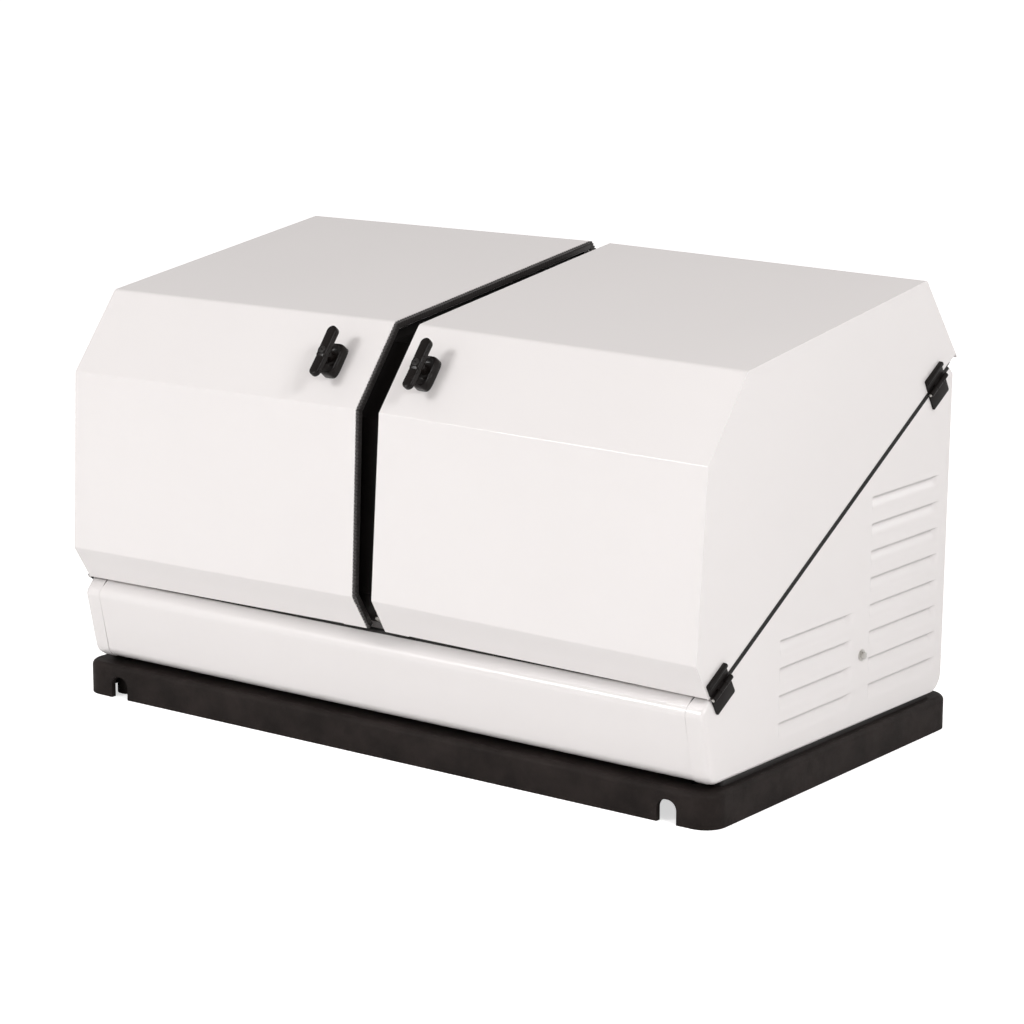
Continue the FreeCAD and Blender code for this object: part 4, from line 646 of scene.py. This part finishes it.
def flat_with_holes(outer, holes):
    """Triangulated flat sheet inside one loop and outside the others."""
    work = bmesh.new()
    for loop in [outer] + holes:
        verts = [work.verts.new(p) for p in loop]
        for a, b in zip(verts, verts[1:] + verts[:1]):
            work.edges.new((a, b))
    bmesh.ops.triangle_fill(work, use_beauty=True, edges=work.edges[:])
    work.verts.index_update()
    shape = ([tuple(v.co) for v in work.verts], [tuple(v.index for v in face.verts) for face in work.faces])
    work.free()
    return shape


def make_end_panels():
    rings = outline_rings()
    turned_edge = loft(rings, caps=False)
    louvers = []
    holes = []
    for near, far, high, count in LOUVER_BANKS:
        for i in range(count):
            top = high - i * LOUVER_PITCH
            louvers.append(louver_grid(near, far, top))
            low = top - LOUVER_HEIGHT
            holes.append([(END, near, top), (END, far, top), (END, far, low), (END, near, low)])
    face = flat_with_holes(rings[-1], holes)
    for side, word in ((1, "right"), (-1, "left")):
        place = None if side > 0 else MIRROR
        node = "end_panel_" + word
        for name, shape in (("_sheet", join(turned_edge, face)), ("_louvers", join(*louvers))):
            panel = make_piece(node + name, shape, WHITE, "enclosure", (node,), place, sharp=32)
            solid = panel.modifiers.new("thickness", "SOLIDIFY")
            solid.thickness = SHEET * 0.9
            solid.offset = -1.0
            split_edges(panel, 40)
            panel.modifiers.new("normals", "WEIGHTED_NORMAL")


def make_seam_edging():
    """Rubber on the body's seam flanges, front and ends, and edging on the foot of the lids' end sheets."""
    level = BODY_EDGE - EDGING
    section = [(END - 0.008, BODY_EDGE), (END - 0.0004, BODY_EDGE - 0.0002), (END - 0.0004, level),
               (END + 0.0004, level), (END + 0.0006, BODY_EDGE), (END - 0.0001, BODY_EDGE + 0.0024),
               (END - 0.0012, BODY_EDGE + 0.0042), (END - 0.0035, BODY_EDGE + 0.0051),
               (END - 0.0060, BODY_EDGE + 0.0050), (END - 0.0080, BODY_EDGE + 0.0036)]
    low = LID_EDGE - 0.0003
    edging = [(END - 0.0024, low), (END + 0.0005, low), (END + 0.0006, low + 0.0004),
              (END + 0.0005, LID_EDGE + EDGING), (END + 0.0001, LID_EDGE + EDGING),
              (END + 0.00005, LID_EDGE), (END - 0.0024, LID_EDGE)]
    for side, word in ((1, "right"), (-1, "left")):
        flip = SEAM_TURN if side > 0 else MIRROR @ SEAM_TURN
        make_piece("seam_bead_" + word, slab(section, *SEAM_SPAN, "Y"), RUBBER, "enclosure", (),
                   flip, sharp=50)
        strip = slab(edging, SEAM_SPAN[0], SEAM_SPAN[1] + 0.006, "Y")
        make_piece("lid_" + word + "_edging", strip, RUBBER, "lid_" + word, (),
                   lid_turn(side) @ flip, sharp=50)
    start = SEAM_SPAN[0] - 0.0012
    front = [(start, BODY_EDGE), (start + 0.0004, BODY_EDGE + 0.0026), (start + 0.0022, BODY_EDGE + 0.0042),
             (start + 0.0050, BODY_EDGE + 0.0044), (start + 0.0076, BODY_EDGE + 0.0030),
             (start + 0.0084, BODY_EDGE)]
    half = END - 0.036
    make_piece("seam_bead_front", slab(front, -half, half), RUBBER, "enclosure", (), SEAM_TURN, sharp=50)


# ------------------------------------------------------------------ fixings
EYE_RADIUS = 0.0078
WIRE_RADIUS = 0.0015
EYE_STEPS = 32
EYE_OFFSET = Vector((0.010, -0.001, 0.006))     # from the middle of the bolts at the channel's foot


def make_eyelet():
    """Bright wire eye beside the bolt at the foot of the centre channel."""
    near = [v.co for v in NODES["panel_bolts"].data.vertices if abs(v.co.x) < 0.05 and v.co.y < 0]
    middle = Vector([(min(c[i] for c in near) + max(c[i] for c in near)) / 2 for i in range(3)])
    rings = []
    for k in range(EYE_STEPS + 1):
        angle = math.radians(-50 + 230 * k / EYE_STEPS)
        spine = Vector((EYE_RADIUS * math.cos(angle), 0.0, EYE_RADIUS * math.sin(angle)))
        out = spine.normalized()
        rings.append([tuple(spine + WIRE_RADIUS * (out * math.cos(a) + Vector((0, math.sin(a), 0))))
                      for a in [2 * math.pi * j / 12 for j in range(12)]])
    place = Matrix.Translation(middle + EYE_OFFSET) @ Matrix.Rotation(math.radians(-30), 4, "X")
    make_piece("gap_foot_eyelet", loft(rings), CHROME, "enclosure", (), place, sharp=60)


# ------------------------------------------------------------------ stage
HORIZON = (0.66, 0.648, 0.644, 1.0)
ZENITH = (0.415, 0.388, 0.378, 1.0)
FLOOR_HALF = 30.0
FLOOR_GLOW = (0.05, 0.62)   # emission for other rays, and for the camera's own


def make_stage():
    world = bpy.data.worlds.new("studio")
    bpy.context.scene.world = world
    world.use_nodes = True
    tree = world.node_tree
    tree.nodes.clear()
    light = tree.nodes.new("ShaderNodeBackground")
    light.inputs["Strength"].default_value = 1.0
    direction = tree.nodes.new("ShaderNodeSeparateXYZ")
    sky = tree.nodes.new("ShaderNodeValToRGB")
    sky.color_ramp.elements[0].color = HORIZON
    sky.color_ramp.elements[1].color = ZENITH
    tree.links.new(tree.nodes.new("ShaderNodeTexCoord").outputs["Generated"], direction.inputs["Vector"])
    tree.links.new(direction.outputs["Z"], sky.inputs["Fac"])
    tree.links.new(sky.outputs["Color"], light.inputs["Color"])
    backdrop = tree.nodes.new("ShaderNodeBackground")
    backdrop.inputs["Color"].default_value = (1.0, 1.0, 1.0, 1.0)
    backdrop.inputs["Strength"].default_value = 1.0
    path = tree.nodes.new("ShaderNodeLightPath")
    mix = tree.nodes.new("ShaderNodeMixShader")
    out = tree.nodes.new("ShaderNodeOutputWorld")
    tree.links.new(path.outputs["Is Camera Ray"], mix.inputs["Fac"])
    tree.links.new(light.outputs["Background"], mix.inputs[1])
    tree.links.new(backdrop.outputs["Background"], mix.inputs[2])
    tree.links.new(mix.outputs["Shader"], out.inputs["Surface"])

    floor_mesh = bpy.data.meshes.new("floor")
    corners = [(x * FLOOR_HALF, y * FLOOR_HALF, 0) for x, y in ((-1, -1), (1, -1), (1, 1), (-1, 1))]
    floor_mesh.from_pydata(corners, [], [(0, 1, 2, 3)])
    floor = bpy.data.objects.new("floor", floor_mesh)
    bpy.context.scene.collection.objects.link(floor)
    shader = Shader("floor", Roughness=0.9, Specular_IOR_Level=0.1)
    shader.colour(shader.noise(0.6, 2.0), (0.90, 0.90, 0.90), (0.92, 0.92, 0.92))
    shader.surface.inputs["Emission Color"].default_value = (1.0, 1.0, 1.0, 1.0)
    seen = shader.tree.nodes.new("ShaderNodeMapRange")
    seen.inputs["To Min"].default_value, seen.inputs["To Max"].default_value = FLOOR_GLOW
    shader.link(shader.tree.nodes.new("ShaderNodeLightPath").outputs["Is Camera Ray"], seen.inputs["Value"])
    shader.link(seen.outputs["Result"], shader.surface.inputs["Emission Strength"])
    floor_mesh.materials.append(shader.material)


def softbox(name, place, target, width, height, power):
    data = bpy.data.lights.new(name, "AREA")
    data.shape = "RECTANGLE"
    data.size = width
    data.size_y = height
    data.energy = power
    lamp = bpy.data.objects.new(name, data)
    bpy.context.scene.collection.objects.link(lamp)
    lamp.location = place
    lamp.rotation_mode = "QUATERNION"
    lamp.rotation_quaternion = (Vector(target) - Vector(place)).to_track_quat("-Z", "Y")


def make_lights():
    centre = (0.0, 0.0, 0.35)
    softbox("front_box", (-2.2, -4.2, 2.9), centre, 1.4, 1.0, 101.0)
    softbox("side_box", (4.1, -1.7, 3.4), centre, 1.6, 1.1, 98.0)
    softbox("rear_box", (2.6, 5.0, 2.4), centre, 3.0, 2.0, 34.0)


bpy.context.scene.view_settings.view_transform = "Standard"
make_camera()
make_stage()
make_lights()
finish_cad_nodes()
make_latches()
make_hinges()
make_trim()
make_end_panels()
make_seam_edging()
make_eyelet()
